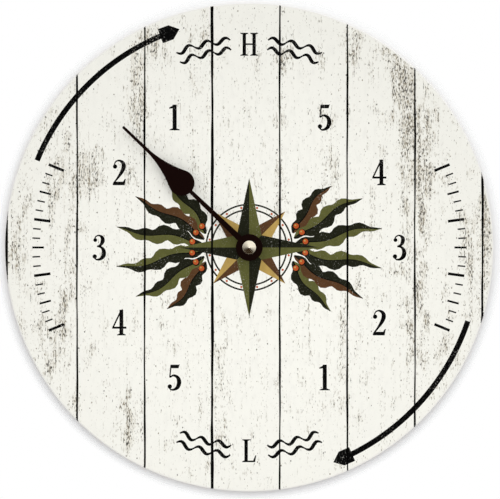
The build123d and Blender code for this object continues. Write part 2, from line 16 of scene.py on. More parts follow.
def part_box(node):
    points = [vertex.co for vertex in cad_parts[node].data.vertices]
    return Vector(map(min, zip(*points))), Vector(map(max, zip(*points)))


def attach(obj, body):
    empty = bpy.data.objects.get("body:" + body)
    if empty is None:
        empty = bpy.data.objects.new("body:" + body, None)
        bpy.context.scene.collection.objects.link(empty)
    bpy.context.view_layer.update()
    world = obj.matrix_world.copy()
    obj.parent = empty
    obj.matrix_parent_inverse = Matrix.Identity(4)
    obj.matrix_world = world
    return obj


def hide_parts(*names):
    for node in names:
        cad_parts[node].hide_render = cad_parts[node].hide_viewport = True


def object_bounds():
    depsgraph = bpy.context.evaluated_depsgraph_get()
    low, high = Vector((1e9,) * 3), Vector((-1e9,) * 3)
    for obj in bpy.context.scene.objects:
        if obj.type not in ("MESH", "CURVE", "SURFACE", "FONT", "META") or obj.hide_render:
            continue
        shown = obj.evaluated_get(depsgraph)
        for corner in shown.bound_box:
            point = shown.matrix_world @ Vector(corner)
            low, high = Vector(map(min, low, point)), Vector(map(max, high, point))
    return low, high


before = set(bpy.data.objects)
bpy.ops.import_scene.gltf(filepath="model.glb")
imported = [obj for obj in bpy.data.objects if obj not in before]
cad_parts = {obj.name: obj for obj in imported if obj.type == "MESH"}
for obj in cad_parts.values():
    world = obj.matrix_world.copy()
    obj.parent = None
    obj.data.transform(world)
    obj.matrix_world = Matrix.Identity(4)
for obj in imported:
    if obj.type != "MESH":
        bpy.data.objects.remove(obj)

CAD_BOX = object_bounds()
MM = 0.001
FULL_TURN = 360.0
QUARTER_TURN = FULL_TURN / 4
EIGHTH_TURN = FULL_TURN / 8
# Where most values of a noise lie.
NOISE_RANGE = (0.3, 0.7)
# Sockets of the Mix node: its two colours, and what it gives.
MIX_FIRST = 6
MIX_SECOND = 7
MIX_RESULT = 2
# A serif's thin and thick places in its rise, and its waist in its reach.
FOOT_THIN = 0.6
FOOT_THICK = 1.4
FOOT_WAIST = 0.5
# The standard curve from display values to linear light.
SRGB_STEPS = 255
SRGB_KNEE = 0.04045
SRGB_SLOPE = 12.92
SRGB_OFFSET = 0.055
SRGB_POWER = 2.4
LOG = logging.getLogger("tide_clock")

Point = tuple[float, float]
PathPoint = tuple[float, float, float]
Colour = tuple[float, float, float, float]
Size = tuple[float, float, float]
Range = tuple[float, float]
Value = Union[float, Colour, bpy.types.NodeSocket]


def tone(red: int, green: int, blue: int) -> Colour:
    """Turns display values into the linear colour that a shader takes.

    Args:
        red: Red as shown, from 0 to 255.
        green: Green as shown, from 0 to 255.
        blue: Blue as shown, from 0 to 255.

    Returns:
        The linear colour, opaque.
    """
    shown = [part / SRGB_STEPS for part in (red, green, blue)]
    linear = [
        part / SRGB_SLOPE if part <= SRGB_KNEE else ((part + SRGB_OFFSET) / (1 + SRGB_OFFSET)) ** SRGB_POWER
        for part in shown
    ]
    return (*linear, 1.0)


def shaded(colour: Colour, share: float) -> Colour:
    """Gives a colour made lighter or darker by a share of itself.

    Args:
        colour: Linear colour to start from.
        share: One leaves it, less is darker and more is lighter.

    Returns:
        The new linear colour, no brighter than white.
    """
    return (*(min(part * share, 1.0) for part in colour[:3]), 1.0)


def polar(radius: float, turn: float) -> Point:
    """Gives the dial point at a radius and a clockwise turn from the top.

    Args:
        radius: Distance from the shaft in mm.
        turn: Clockwise turn from the top in degrees.

    Returns:
        The point, x to the right and y up, in mm.
    """
    angle = math.radians(turn)
    return (radius * math.sin(angle), radius * math.cos(angle))


def circle(centre: Point, radius: float, sides: int) -> list[Point]:
    """Gives the corners of a round outline, counter-clockwise.

    Args:
        centre: Middle of the circle in mm.
        radius: Radius in mm.
        sides: Number of corners.

    Returns:
        The corners in order.
    """
    turns = [2 * math.pi * side / sides for side in range(sides)]
    return [(centre[0] + radius * math.cos(turn), centre[1] + radius * math.sin(turn)) for turn in turns]


def smooth(points: Sequence[PathPoint], steps: int) -> list[PathPoint]:
    """Runs a smooth curve through path points, which hold a place and a width.

    Args:
        points: Points that the curve passes through.
        steps: Samples from one point to the next.

    Returns:
        Points along the curve, the ends included.
    """
    padded = [points[0], *points, points[-1]]
    curve: list[PathPoint] = []
    for before, start, end, after in zip(padded, padded[1:], padded[2:], padded[3:]):
        for step in range(steps):
            t = step / steps
            curve.append(tuple(
                0.5 * (2 * b + (c - a) * t + (2 * a - 5 * b + 4 * c - d) * t * t
                       + (3 * b - a - 3 * c + d) * t ** 3)
                for a, b, c, d in zip(before, start, end, after)
            ))
    return [*curve, points[-1]]


def new_piece(name: str, work: bmesh.types.BMesh) -> bpy.types.Object:
    """Turns a finished mesh into an object of the scene.

    Args:
        name: Name of the object and of its mesh.
        work: The mesh, which is freed.

    Returns:
        The new object.
    """
    mesh = bpy.data.meshes.new(name)
    work.to_mesh(mesh)
    work.free()
    piece = bpy.data.objects.new(name, mesh)
    bpy.context.scene.collection.objects.link(piece)
    return piece


def raise_outline(work: bmesh.types.BMesh, outline: Sequence[Point], foot_place: float, face_place: float,
                  round_off: float) -> None:
    """Adds a low raised shape with a rounded rim, facing the rear.

    Args:
        work: Mesh to add to.
        outline: Corners in the frame's x and z.
        foot_place: Where its foot lies along y.
        face_place: Where its face lies along y.
        round_off: Radius of the rim.
    """
    lower = [work.verts.new((x, foot_place, z)) for x, z in outline]
    upper = [work.verts.new((x, face_place, z)) for x, z in outline]
    top = work.faces.new(upper)
    faces = [top, work.faces.new(lower)]
    for index in range(len(outline)):
        faces.append(work.faces.new((lower[index - 1], lower[index], upper[index], upper[index - 1])))
    bmesh.ops.recalc_face_normals(work, faces=faces)
    bmesh.ops.bevel(work, geom=list(top.edges), offset=round_off, segments=2, profile=0.5, affect="EDGES")


class Body(Enum):
    """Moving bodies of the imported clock."""

    CLOCK = "clock"
    SET_KNOB = "set_knob"


class Calc(Enum):
    """Sums that a material can do between two values."""

    ADD = "ADD"
    TAKE = "SUBTRACT"
    TIMES = "MULTIPLY"
    LEAST = "MINIMUM"
    MOST = "MAXIMUM"
    FLOOR = "FLOOR"
    ABOVE = "GREATER_THAN"


class Ink(Enum):
    """Colours of the print, in display values."""

    BLACK = (4, 4, 4)
    SHADE = (30, 31, 20)
    OLIVE = (88, 89, 48)
    BROWN = (84, 57, 35)
    OCHRE = (176, 147, 82)
    RUST = (178, 82, 40)


class NodeBench:
    """Lays out the nodes of one material and joins them."""

    def __init__(self, name: str) -> None:
        """Starts a material that holds only its main shader.

        Args:
            name: Name of the material.
        """
        self.material = bpy.data.materials.new(name)
        self.material.use_nodes = True
        self.tree = self.material.node_tree
        self.shader = self.tree.nodes["Principled BSDF"]
        self.place = self.add("ShaderNodeTexCoord").outputs["Object"]

    def add(self, kind: str, **settings: object) -> bpy.types.Node:
        """Adds a node.

        Args:
            kind: Blender's name for the node.
            settings: Options to set on it.

        Returns:
            The new node.
        """
        node = self.tree.nodes.new(kind)
        for name, value in settings.items():
            setattr(node, name, value)
        return node

    def feed(self, socket: bpy.types.NodeSocket, value: Value) -> None:
        """Links a socket to another one, or sets it to a constant.

        Args:
            socket: Socket to set.
            value: Another socket, or the constant.
        """
        if isinstance(value, bpy.types.NodeSocket):
            self.tree.links.new(value, socket)
        else:
            socket.default_value = value

    def calc(self, sum_: Calc, first: Value, second: Value = 0.0) -> bpy.types.NodeSocket:
        """Works out a sum.

        Args:
            sum_: Which sum.
            first: Its first value.
            second: Its second value, where it takes one.

        Returns:
            The result.
        """
        node = self.add("ShaderNodeMath", operation=sum_.value)
        self.feed(node.inputs[0], first)
        self.feed(node.inputs[1], second)
        return node.outputs[0]

    def span(self, value: Value, low: Value, high: Value, start: float = 0.0,
             end: float = 1.0) -> bpy.types.NodeSocket:
        """Maps a value from one range to another, softly and held at both ends.

        Args:
            value: What to map.
            low: Value that gives start.
            high: Value that gives end.
            start: Result at low.
            end: Result at high.

        Returns:
            The mapped value.
        """
        node = self.add("ShaderNodeMapRange", interpolation_type="SMOOTHSTEP")
        for socket, given in zip(node.inputs, (value, low, high, start, end)):
            self.feed(socket, given)
        return node.outputs[0]

    def stretch(self, size: Size, shift: float = 0.0) -> bpy.types.NodeSocket:
        """Scales the place on a piece, so that a size along each axis becomes one.

        Args:
            size: Size in mm along x, y and z. Zero keeps an axis out.
            shift: Moves the pattern, so that two of one size differ.

        Returns:
            The scaled place.
        """
        node = self.add("ShaderNodeMapping")
        self.feed(node.inputs["Vector"], self.place)
        node.inputs["Location"].default_value = (shift, shift, shift)
        node.inputs["Scale"].default_value = [1 / (part * MM) if part else 0.0 for part in size]
        return node.outputs[0]

    def spots(self, size: Size, detail: float = 2.0, shift: float = 0.0) -> bpy.types.NodeSocket:
        """Gives noise whose spots have a size along each axis.

        Args:
            size: Width of a spot in mm along x, y and z.
            detail: Octaves of finer noise.
            shift: Moves the pattern.

        Returns:
            The noise, around one half.
        """
        noise = self.add("ShaderNodeTexNoise")
        noise.inputs["Scale"].default_value = 1.0
        noise.inputs["Detail"].default_value = detail
        self.feed(noise.inputs["Vector"], self.stretch(size, shift))
        return noise.outputs[0]

    def dots(self, size: Size) -> bpy.types.NodeSocket:
        """Gives the distance to scattered points.

        Args:
            size: Spacing of the points in mm along x, y and z.

        Returns:
            The distance in spacings.
        """
        cells = self.add("ShaderNodeTexVoronoi")
        cells.inputs["Scale"].default_value = 1.0
        self.feed(cells.inputs["Vector"], self.stretch(size))
        return cells.outputs["Distance"]

    def reading(self, name: str) -> bpy.types.NodeSocket:
        """Gives a value that the mesh holds under a name."""
        return self.add("ShaderNodeAttribute", attribute_name=name).outputs["Fac"]

    def axis(self, name: str) -> bpy.types.NodeSocket:
        """Gives the place on the piece along one axis.

        Args:
            name: Name of the axis: x, y or z.

        Returns:
            The place in mm.
        """
        parts = self.add("ShaderNodeSeparateXYZ")
        self.feed(parts.inputs[0], self.place)
        return self.calc(Calc.TIMES, parts.outputs[name.upper()], 1 / MM)

    def reach(self, first: str, second: str) -> bpy.types.NodeSocket:
        """Gives the square of the distance from the frame's origin along two axes, in square mm."""
        places = [self.axis(first), self.axis(second)]
        return self.calc(Calc.ADD, *(self.calc(Calc.TIMES, place, place) for place in places))

    def blend(self, share: Value, first: Value, second: Value) -> bpy.types.NodeSocket:
        """Mixes two colours.

        Args:
            share: Zero gives the first, one the second.
            first: Colour at zero.
            second: Colour at one.

        Returns:
            The mixed colour.
        """
        node = self.add("ShaderNodeMix", data_type="RGBA")
        self.feed(node.inputs[0], share)
        self.feed(node.inputs[MIX_FIRST], first)
        self.feed(node.inputs[MIX_SECOND], second)
        return node.outputs[MIX_RESULT]

    def relief(self, height: bpy.types.NodeSocket, depth: float, soften: float = 0.0) -> None:
        """Gives the surface a fine relief, and its edges a soft light.

        Args:
            height: Height from zero to one.
            depth: Depth of the relief in mm.
            soften: Radius that edges are lit with, in mm. Zero leaves them sharp.
        """
        bump = self.add("ShaderNodeBump")
        bump.inputs["Distance"].default_value = depth * MM
        self.feed(bump.inputs["Height"], height)
        if soften:
            edge = self.add("ShaderNodeBevel", samples=4)
            edge.inputs["Radius"].default_value = soften * MM
            self.feed(bump.inputs["Normal"], edge.outputs[0])
        self.feed(self.shader.inputs["Normal"], bump.outputs[0])


@dataclass(frozen=True)
class Moulded:
    """Moulded plastic, rubber or lacquer with a fine grain, sizes in mm."""

    name: str
    colour: Colour
    roughness: float = 0.5
    grain: float = 0.3
    depth: float = 0.012
    stray: float = 0.12
    soften: float = 0.2
    shine: float = 0.5
    glint: Colour = (1.0, 1.0, 1.0, 1.0)
    cloud_size: float = 9.0
    rub_size: float = 2.2
    rub_spread: float = 0.07

    def make(self) -> bpy.types.Material:
        """Builds the material, its colour and gloss a little uneven.

        Returns:
            The new material.
        """
        bench = NodeBench(self.name)
        bench.shader.inputs["Specular IOR Level"].default_value = self.shine
        bench.shader.inputs["Specular Tint"].default_value = self.glint
        clouds = bench.spots((self.cloud_size,) * 3, detail=4.0)
        low, high = shaded(self.colour, 1 - self.stray), shaded(self.colour, 1 + self.stray)
        colour = bench.blend(clouds, low, high)
        bench.feed(bench.shader.inputs["Base Color"], colour)
        rubbed = bench.spots((self.rub_size,) * 3, detail=3.0, shift=7.0)
        smoother, rougher = self.roughness - self.rub_spread, self.roughness + self.rub_spread
        gloss = bench.span(rubbed, *NOISE_RANGE, smoother, rougher)
        bench.feed(bench.shader.inputs["Roughness"], gloss)
        bench.relief(bench.spots((self.grain,) * 3, detail=1.0), self.depth, self.soften)
        return bench.material


@dataclass(frozen=True)
class Metal:
    """Bare metal with fine working marks, sizes in mm."""

    name: str
    colour: Colour
    roughness: float = 0.3
    marks: Size = (0.4, 0.4, 0.4)
    depth: float = 0.006
    tarnish: float = 0.2
    soften: float = 0.12
    patch_size: float = 4.0
    patch_range: Range = (0.45, 0.8)
    mark_range: Range = (0.25, 0.75)
    gloss_change: Range = (-0.06, 0.08)

    def make(self) -> bpy.types.Material:
        """Builds the material, with a faint tarnish in patches.

        Returns:
            The new material.
        """
        bench = NodeBench(self.name)
        bench.shader.inputs["Metallic"].default_value = 1.0
        patches = bench.spots((self.patch_size,) * 3, detail=4.0)
        dull = bench.span(patches, *self.patch_range)
        colour = bench.blend(dull, self.colour, shaded(self.colour, 1 - self.tarnish))
        bench.feed(bench.shader.inputs["Base Color"], colour)
        marks = bench.spots(self.marks, detail=2.0, shift=3.0)
        smoother, rougher = (self.roughness + change for change in self.gloss_change)
        gloss = bench.span(marks, *self.mark_range, smoother, rougher)
        bench.feed(bench.shader.inputs["Roughness"], gloss)
        bench.relief(marks, self.depth, self.soften)
        return bench.material


@dataclass(frozen=True)
class CellJacket:
    """Plastic sleeve on a steel cell, bare at both ends, by shares of the cell's length."""

    name: str
    sleeve: Colour
    steel: Colour
    ends: Range = (0.02, 0.955)
    cloud_size: float = 6.0
    grain_size: float = 0.5
    grain_depth: float = 0.003
    sleeve_shades: Range = (0.9, 1.1)
    steel_shade: float = 0.85
    gloss: Range = (0.26, 0.34)
    soften: float = 0.2

    def make(self) -> bpy.types.Material:
        """Builds the material, with the sleeve between the two bare ends.

        Returns:
            The new material.
        """
        bench = NodeBench(self.name)
        parts = bench.add("ShaderNodeSeparateXYZ")
        bench.feed(parts.inputs[0], bench.add("ShaderNodeTexCoord").outputs["Generated"])
        near = bench.calc(Calc.ABOVE, parts.outputs["X"], self.ends[0])
        far = bench.calc(Calc.ABOVE, parts.outputs["X"], self.ends[1])
        covered = bench.calc(Calc.TAKE, near, far)
        clouds = bench.spots((self.cloud_size,) * 3, detail=3.0)
        sleeve = bench.blend(clouds, *(shaded(self.sleeve, share) for share in self.sleeve_shades))
        steel = bench.blend(clouds, shaded(self.steel, self.steel_shade), self.steel)
        bench.feed(bench.shader.inputs["Base Color"], bench.blend(covered, steel, sleeve))
        bench.feed(bench.shader.inputs["Metallic"], bench.calc(Calc.TAKE, 1.0, covered))
        bench.feed(bench.shader.inputs["Roughness"], bench.span(clouds, *NOISE_RANGE, *self.gloss))
        bench.relief(bench.spots((self.grain_size,) * 3, detail=1.0), self.grain_depth, self.soften)
        return bench.material


@dataclass(frozen=True)
class Fibreboard:
    """Raw pressed board with short fibres, as on the back of the dial, sizes in mm."""

    name: str = "raw_board"
    colour: Colour = tone(146, 112, 80)
    felt_size: float = 0.7
    felt_depth: float = 0.05
    ground_shades: Range = (0.9, 1.1)
    light_range: Range = (0.52, 0.7)
    light_shade: float = 1.25
    dark_range: Range = (0.46, 0.3)
    dark_shade: float = 0.72
    cloud_size: float = 30.0
    roughness: float = 0.82

    def make(self) -> bpy.types.Material:
        """Builds the material, with light and dark fibres.

        Returns:
            The new material.
        """
        bench = NodeBench(self.name)
        felt = bench.spots((self.felt_size,) * 3, detail=4.0)
        clouds = bench.spots((self.cloud_size,) * 3)
        ground = bench.blend(clouds, *(shaded(self.colour, share) for share in self.ground_shades))
        light, dark = bench.span(felt, *self.light_range), bench.span(felt, *self.dark_range)
        lit = bench.blend(light, ground, shaded(self.colour, self.light_shade))
        colour = bench.blend(dark, lit, shaded(self.colour, self.dark_shade))
        bench.feed(bench.shader.inputs["Base Color"], colour)
        bench.shader.inputs["Roughness"].default_value = self.roughness
        bench.relief(felt, self.felt_depth)
        return bench.material


@dataclass(frozen=True)
class WornPlace:
    """A place where the dial's paint is rubbed, in mm, fading out along both ways."""

    x: float
    y: float
    across: float
    along: float
    depth: float

    def share(self, x: float, y: float) -> float:
        """Gives how much of the paint is gone at a point, from zero to its depth."""
        away = ((x - self.x) / self.across) ** 2 + ((y - self.y) / self.along) ** 2
        return self.depth * math.exp(-away)


WORN_PLACES: tuple[WornPlace, ...] = (
    WornPlace(-61.5, 86.0, 5.0, 30.0, 1.0),
    WornPlace(-53.0, 112.0, 6.0, 12.0, 0.8),
    WornPlace(-89.0, 42.0, 5.0, 15.0, 0.95),
    WornPlace(-103.0, 38.0, 7.0, 18.0, 0.65),
    WornPlace(86.5, 60.0, 5.0, 40.0, 0.8),
    WornPlace(95.0, 48.0, 6.0, 36.0, 0.95),
    WornPlace(94.0, -40.0, 4.0, 50.0, 0.5),
    WornPlace(56.0, 107.0, 3.5, 12.0, 0.9),
    WornPlace(-97.0, -20.0, 4.0, 75.0, 0.5),
    WornPlace(51.5, -60.0, 3.0, 40.0, 0.5),
    WornPlace(-66.0, -92.0, 7.0, 14.0, 0.7),
    WornPlace(-17.0, -80.0, 3.5, 55.0, 0.5),
    WornPlace(78.0, 108.0, 8.0, 9.0, 0.65),
    WornPlace(-128.0, 0.0, 5.0, 28.0, 0.7),
    WornPlace(-125.5, -7.5, 4.0, 4.5, 1.0),
    WornPlace(121.0, 9.0, 5.0, 16.0, 0.75),
    WornPlace(130.0, 8.0, 3.5, 26.0, 0.9),
    WornPlace(122.0, -24.0, 6.0, 20.0, 0.4),
    WornPlace(14.0, 20.0, 3.0, 50.0, 0.35),
    WornPlace(83.0, 90.0, 6.0, 18.0, 0.85),
    WornPlace(45.0, 42.0, 6.0, 20.0, 0.4),
    WornPlace(86.5, -25.0, 3.5, 40.0, 0.5),
    WornPlace(-108.0, -52.0, 8.0, 28.0, 0.5),
    WornPlace(-112.0, 72.0, 8.0, 14.0, 0.45),
    WornPlace(108.0, -66.0, 6.0, 24.0, 0.4),
    WornPlace(20.0, 112.0, 5.0, 16.0, 0.45),
    WornPlace(-26.0, 104.0, 6.0, 20.0, 0.4),
)


@dataclass(frozen=True)
class PaintLayers:
    """Sockets of the worn paint that the print shares."""

    colour: bpy.types.NodeSocket
    flecks: bpy.types.NodeSocket
    wear: bpy.types.NodeSocket
    grain: bpy.types.NodeSocket


@dataclass(frozen=True)
class Whitewash:
    """Worn white paint on planks, with flecks and streaks that run down the grain, sizes in mm."""

    WORN: ClassVar[str] = "worn"
    radius: float
    plank_width: float
    seam_shift: float
    name: str = "whitewash"
    paint: Colour = tone(244, 243, 235)
    rim: Colour = tone(237, 236, 228)
    fleck: Colour = tone(44, 42, 38)
    bare_wood: Colour = tone(140, 131, 112)
    stain: Colour = tone(212, 206, 191)
    ghost: Colour = tone(193, 189, 178)
    shine: float = 0.3
    grain_size: Size = (0.5, 0.0, 11.0)
    patch_size: Size = (3.6, 0.0, 9.0)
    stray_size: Size = (7.0, 0.0, 16.0)
    row_size: Size = (1.3, 0.0, 60.0)
    row_lift: float = 0.045
    dash_size: Size = (0.62, 0.0, 1.8)
    dash_levels: Range = (0.7, 0.515)
    spatter_gap: Size = (4.6, 0.0, 6.4)
    spatter_reach: Range = (0.085, 0.06)
    cloud_size: Size = (2.6, 0.0, 6.5)
    ghost_size: Size = (0.9, 0.0, 2.6)
    ghost_levels: Range = (0.635, 0.5)
    bare_size: Size = (1.6, 0.0, 3.0)
    bare_range: Range = (0.41, 0.6)
    patch_range: Range = (0.3, 0.6)
    patch_wear: Range = (0.3, 1.25)
    stray_range: Range = (0.42, 0.74)
    stray_wear: float = 0.6
    grain_range: Range = (0.35, 0.65)
    dash_edge: float = 0.02
    fresh_shade: float = 0.985
    cloud_range: Range = (0.45, 0.8)
    cloud_shade: float = 0.9
    ghost_wear: float = 0.7
    ghost_edge: float = 0.05
    ghost_cover: float = 0.6
    stain_wear: float = 0.3
    stain_cover: float = 0.8
    fleck_cover: float = 0.9
    gloss: Range = (0.55, 0.78)
    relief_depth: float = 0.03

    def layers(self, bench: NodeBench) -> PaintLayers:
        """Builds the paint's colour and the masks of its wear.

        Args:
            bench: Material to build on.

        Returns:
            Colour, flecks, worn areas and grain.
        """
        across = bench.calc(Calc.TAKE, bench.axis("x"), self.seam_shift)
        plank = bench.calc(Calc.FLOOR, bench.calc(Calc.TIMES, across, 1 / self.plank_width))
        chance = bench.add("ShaderNodeTexWhiteNoise", noise_dimensions="1D")
        bench.feed(chance.inputs["W"], plank)
        grain = bench.spots(self.grain_size, detail=2.0, shift=4.0)
        patches = bench.spots(self.patch_size, detail=3.0, shift=2.0)
        patchy = bench.span(patches, *self.patch_range, *self.patch_wear)
        thin = bench.calc(Calc.TIMES, bench.reading(self.WORN), patchy)
        strays = bench.spots(self.stray_size, detail=3.0, shift=8.0)
        stray = bench.span(strays, *self.stray_range, 0.0, self.stray_wear)
        wear = bench.calc(Calc.LEAST, bench.calc(Calc.ADD, thin, stray), 1.0)
        lines = bench.spots(self.row_size, detail=1.0, shift=3.0)
        rows = bench.span(lines, *self.grain_range, self.row_lift, -self.row_lift)
        level = bench.calc(Calc.ADD, bench.span(wear, 0.0, 1.0, *self.dash_levels), rows)
        dashes = bench.calc(Calc.TAKE, bench.spots(self.dash_size, detail=2.0), level)
        small = bench.span(dashes, 0.0, self.dash_edge)
        spatter = bench.span(bench.dots(self.spatter_gap), *self.spatter_reach)
        flecks = bench.calc(Calc.MOST, small, spatter)
        fresh = bench.blend(chance.outputs["Value"], shaded(self.paint, self.fresh_shade), self.paint)
        # The paint turns a little darker towards the rim.
        tint = bench.blend(bench.span(bench.reach("x", "z"), 0.0, self.radius ** 2), fresh, self.rim)
        clouds = bench.spots(self.cloud_size, detail=5.0, shift=9.0)
        dulled = bench.span(clouds, *self.cloud_range)
        cloudy = bench.blend(dulled, tint, shaded(self.paint, self.cloud_shade))
        fading = bench.span(wear, 0.0, self.ghost_wear, *self.ghost_levels)
        faint_level = bench.calc(Calc.ADD, fading, rows)
        faint = bench.spots(self.ghost_size, detail=3.0, shift=21.0)
        ghosts = bench.calc(Calc.TAKE, faint, faint_level)
        cover = bench.span(ghosts, 0.0, self.ghost_edge, 0.0, self.ghost_cover)
        ground = bench.blend(cover, cloudy, self.ghost)
        worn_through = bench.span(wear, self.stain_wear, 1.0)
        rubbed = bench.calc(Calc.TIMES, worn_through, bench.span(grain, *self.grain_range))
        stained = bench.blend(bench.calc(Calc.TIMES, rubbed, self.stain_cover), ground, self.stain)
        which = bench.span(bench.spots(self.bare_size, shift=6.0), *self.bare_range)
        mark = bench.blend(which, self.fleck, self.bare_wood)
        colour = bench.blend(bench.calc(Calc.TIMES, flecks, self.fleck_cover), stained, mark)
        return PaintLayers(colour, flecks, wear, grain)

    def make(self) -> bpy.types.Material:
        """Builds the material of the bare paint.

        Returns:
            The new material.
        """
        bench = NodeBench(self.name)
        layers = self.layers(bench)
        bench.feed(bench.shader.inputs["Base Color"], layers.colour)
        bench.feed(bench.shader.inputs["Roughness"], bench.span(layers.flecks, 0.0, 1.0, *self.gloss))
        bench.shader.inputs["Specular IOR Level"].default_value = self.shine
        height = bench.calc(Calc.TAKE, bench.calc(Calc.TIMES, layers.grain, 0.5), layers.flecks)
        bench.relief(height, self.relief_depth)
        return bench.material


@dataclass(frozen=True)
class PrintInk:
    """Ink printed on the worn paint, which shows through where it is rubbed, sizes in mm."""

    paint: Whitewash
    ink: Ink
    shine: float = 0.02
    roughness: float = 0.6
    cloud_size: Size = (3.0, 0.0, 5.0)
    speck_size: Size = (0.55, 0.0, 0.9)
    speck_range: Range = (0.58, 0.74)
    shades: Range = (0.75, 1.3)
    thin_wear: float = 0.1
    thin_cover: Range = (0.05, 0.85)
    relief_depth: float = 0.02

    def make(self) -> bpy.types.Material:
        """Builds the material of one ink.

        Returns:
            The new material.
        """
        bench = NodeBench(f"ink_{self.ink.name.lower()}")
        layers = self.paint.layers(bench)
        colour = tone(*self.ink.value)
        clouds = bench.spots(self.cloud_size, detail=3.0)
        uneven = bench.blend(clouds, *(shaded(colour, share) for share in self.shades))
        small = bench.spots(self.speck_size, detail=1.0, shift=11.0)
        specks = bench.span(small, *self.speck_range)
        thin = bench.span(layers.wear, self.thin_wear, 1.0, *self.thin_cover)
        share = bench.calc(Calc.TIMES, specks, thin)
        bench.feed(bench.shader.inputs["Base Color"], bench.blend(share, uneven, layers.colour))
        bench.shader.inputs["Roughness"].default_value = self.roughness
        bench.shader.inputs["Specular IOR Level"].default_value = self.shine
        bench.relief(layers.grain, self.relief_depth)
        return bench.material


@dataclass(frozen=True)
class Patch:
    """One printed area: its ink and its outline in mm."""

    ink: Ink
    outline: Sequence[Point]


@dataclass(frozen=True)
class Glyph:
    """A numeral or letter, in shares of its height from its lower left corner."""

    width: float
    strokes: Sequence[Sequence[PathPoint]] = ()
    blocks: Sequence[Sequence[Point]] = ()
    balls: Sequence[PathPoint] = ()


def foot(centre: float, level: float, reach: float, rise: float) -> list[Point]:
    """Gives the outline of a serif at the end of a stem.

    Args:
        centre: Middle of the stem.
        level: Height of the flat side.
        reach: Half of the serif's width.
        rise: Thickness, negative at the top of a stem.

    Returns:
        The outline, in shares of the height.
    """
    thin, thick, waist = level + rise * FOOT_THIN, level + rise * FOOT_THICK, reach * FOOT_WAIST
    right = [(centre + reach, level), (centre + reach, thin), (centre + waist, thick)]
    left = [(centre - waist, thick), (centre - reach, thin)]
    return [(centre - reach, level), *right, *left]


def bar(left: float, low: float, right: float, high: float) -> list[Point]:
    """Gives the corners of an upright rectangle from its sides."""
    return [(left, low), (right, low), (right, high), (left, high)]


GLYPHS: dict[str, Glyph] = {
    "1": Glyph(
        width=0.44,
        blocks=(
            bar(0.16, 0.03, 0.32, 1.0),
            [(0.03, 0.84), (0.18, 0.86), (0.32, 1.0), (0.24, 1.0), (0.03, 0.89)],
            foot(0.24, 0.0, 0.2, 0.05),
        ),
    ),
    "2": Glyph(
        width=0.56,
        strokes=(
            ((0.08, 0.72, 0.04), (0.13, 0.9, 0.05), (0.27, 0.965, 0.07), (0.42, 0.88, 0.14),
             (0.455, 0.72, 0.17), (0.38, 0.52, 0.14), (0.22, 0.28, 0.08), (0.06, 0.08, 0.05)),
        ),
        blocks=([(0.03, 0.0), (0.49, 0.0), (0.54, 0.25), (0.5, 0.25), (0.43, 0.14), (0.1, 0.14),
                 (0.03, 0.07)],),
        balls=((0.12, 0.73, 0.085),),
    ),
    "3": Glyph(
        width=0.54,
        strokes=(
            ((0.08, 0.79, 0.04), (0.14, 0.92, 0.05), (0.27, 0.97, 0.06), (0.39, 0.89, 0.13),
             (0.41, 0.75, 0.16), (0.33, 0.6, 0.1), (0.19, 0.54, 0.05)),
            ((0.19, 0.54, 0.05), (0.35, 0.51, 0.09), (0.45, 0.37, 0.15), (0.44, 0.18, 0.17),
             (0.32, 0.05, 0.11), (0.17, 0.03, 0.06), (0.06, 0.12, 0.05)),
        ),
        balls=((0.12, 0.79, 0.075), (0.1, 0.15, 0.085)),
    ),
    "4": Glyph(
        width=0.58,
        strokes=(((0.37, 0.98, 0.06), (0.05, 0.31, 0.06)),),
        blocks=(bar(0.02, 0.26, 0.57, 0.34), bar(0.3, 0.03, 0.45, 1.0), foot(0.375, 0.0, 0.17, 0.05)),
    ),
    "5": Glyph(
        width=0.54,
        strokes=(
            ((0.15, 0.98, 0.05), (0.1, 0.5, 0.05)),
            ((0.1, 0.5, 0.05), (0.24, 0.58, 0.08), (0.4, 0.51, 0.13), (0.465, 0.33, 0.17),
             (0.41, 0.13, 0.15), (0.27, 0.03, 0.09), (0.15, 0.03, 0.06), (0.06, 0.12, 0.05)),
        ),
        blocks=([(0.13, 0.86), (0.44, 0.86), (0.49, 1.02), (0.45, 1.0), (0.13, 1.0)],),
        balls=((0.1, 0.15, 0.085),),
    ),
    "H": Glyph(
        width=0.82,
        blocks=(
            bar(0.12, 0.03, 0.27, 0.97), bar(0.55, 0.03, 0.7, 0.97), bar(0.2, 0.47, 0.62, 0.54),
            foot(0.195, 0.0, 0.175, 0.05), foot(0.625, 0.0, 0.175, 0.05),
            foot(0.195, 1.0, 0.175, -0.05)[::-1], foot(0.625, 1.0, 0.175, -0.05)[::-1],
        ),
    ),
    "L": Glyph(
        width=0.66,
        blocks=(
            bar(0.12, 0.03, 0.27, 0.97), foot(0.195, 0.0, 0.175, 0.05),
            foot(0.195, 1.0, 0.175, -0.05)[::-1],
            [(0.2, 0.0), (0.59, 0.0), (0.64, 0.3), (0.6, 0.3), (0.5, 0.07), (0.2, 0.07)],
        ),
    ),
}


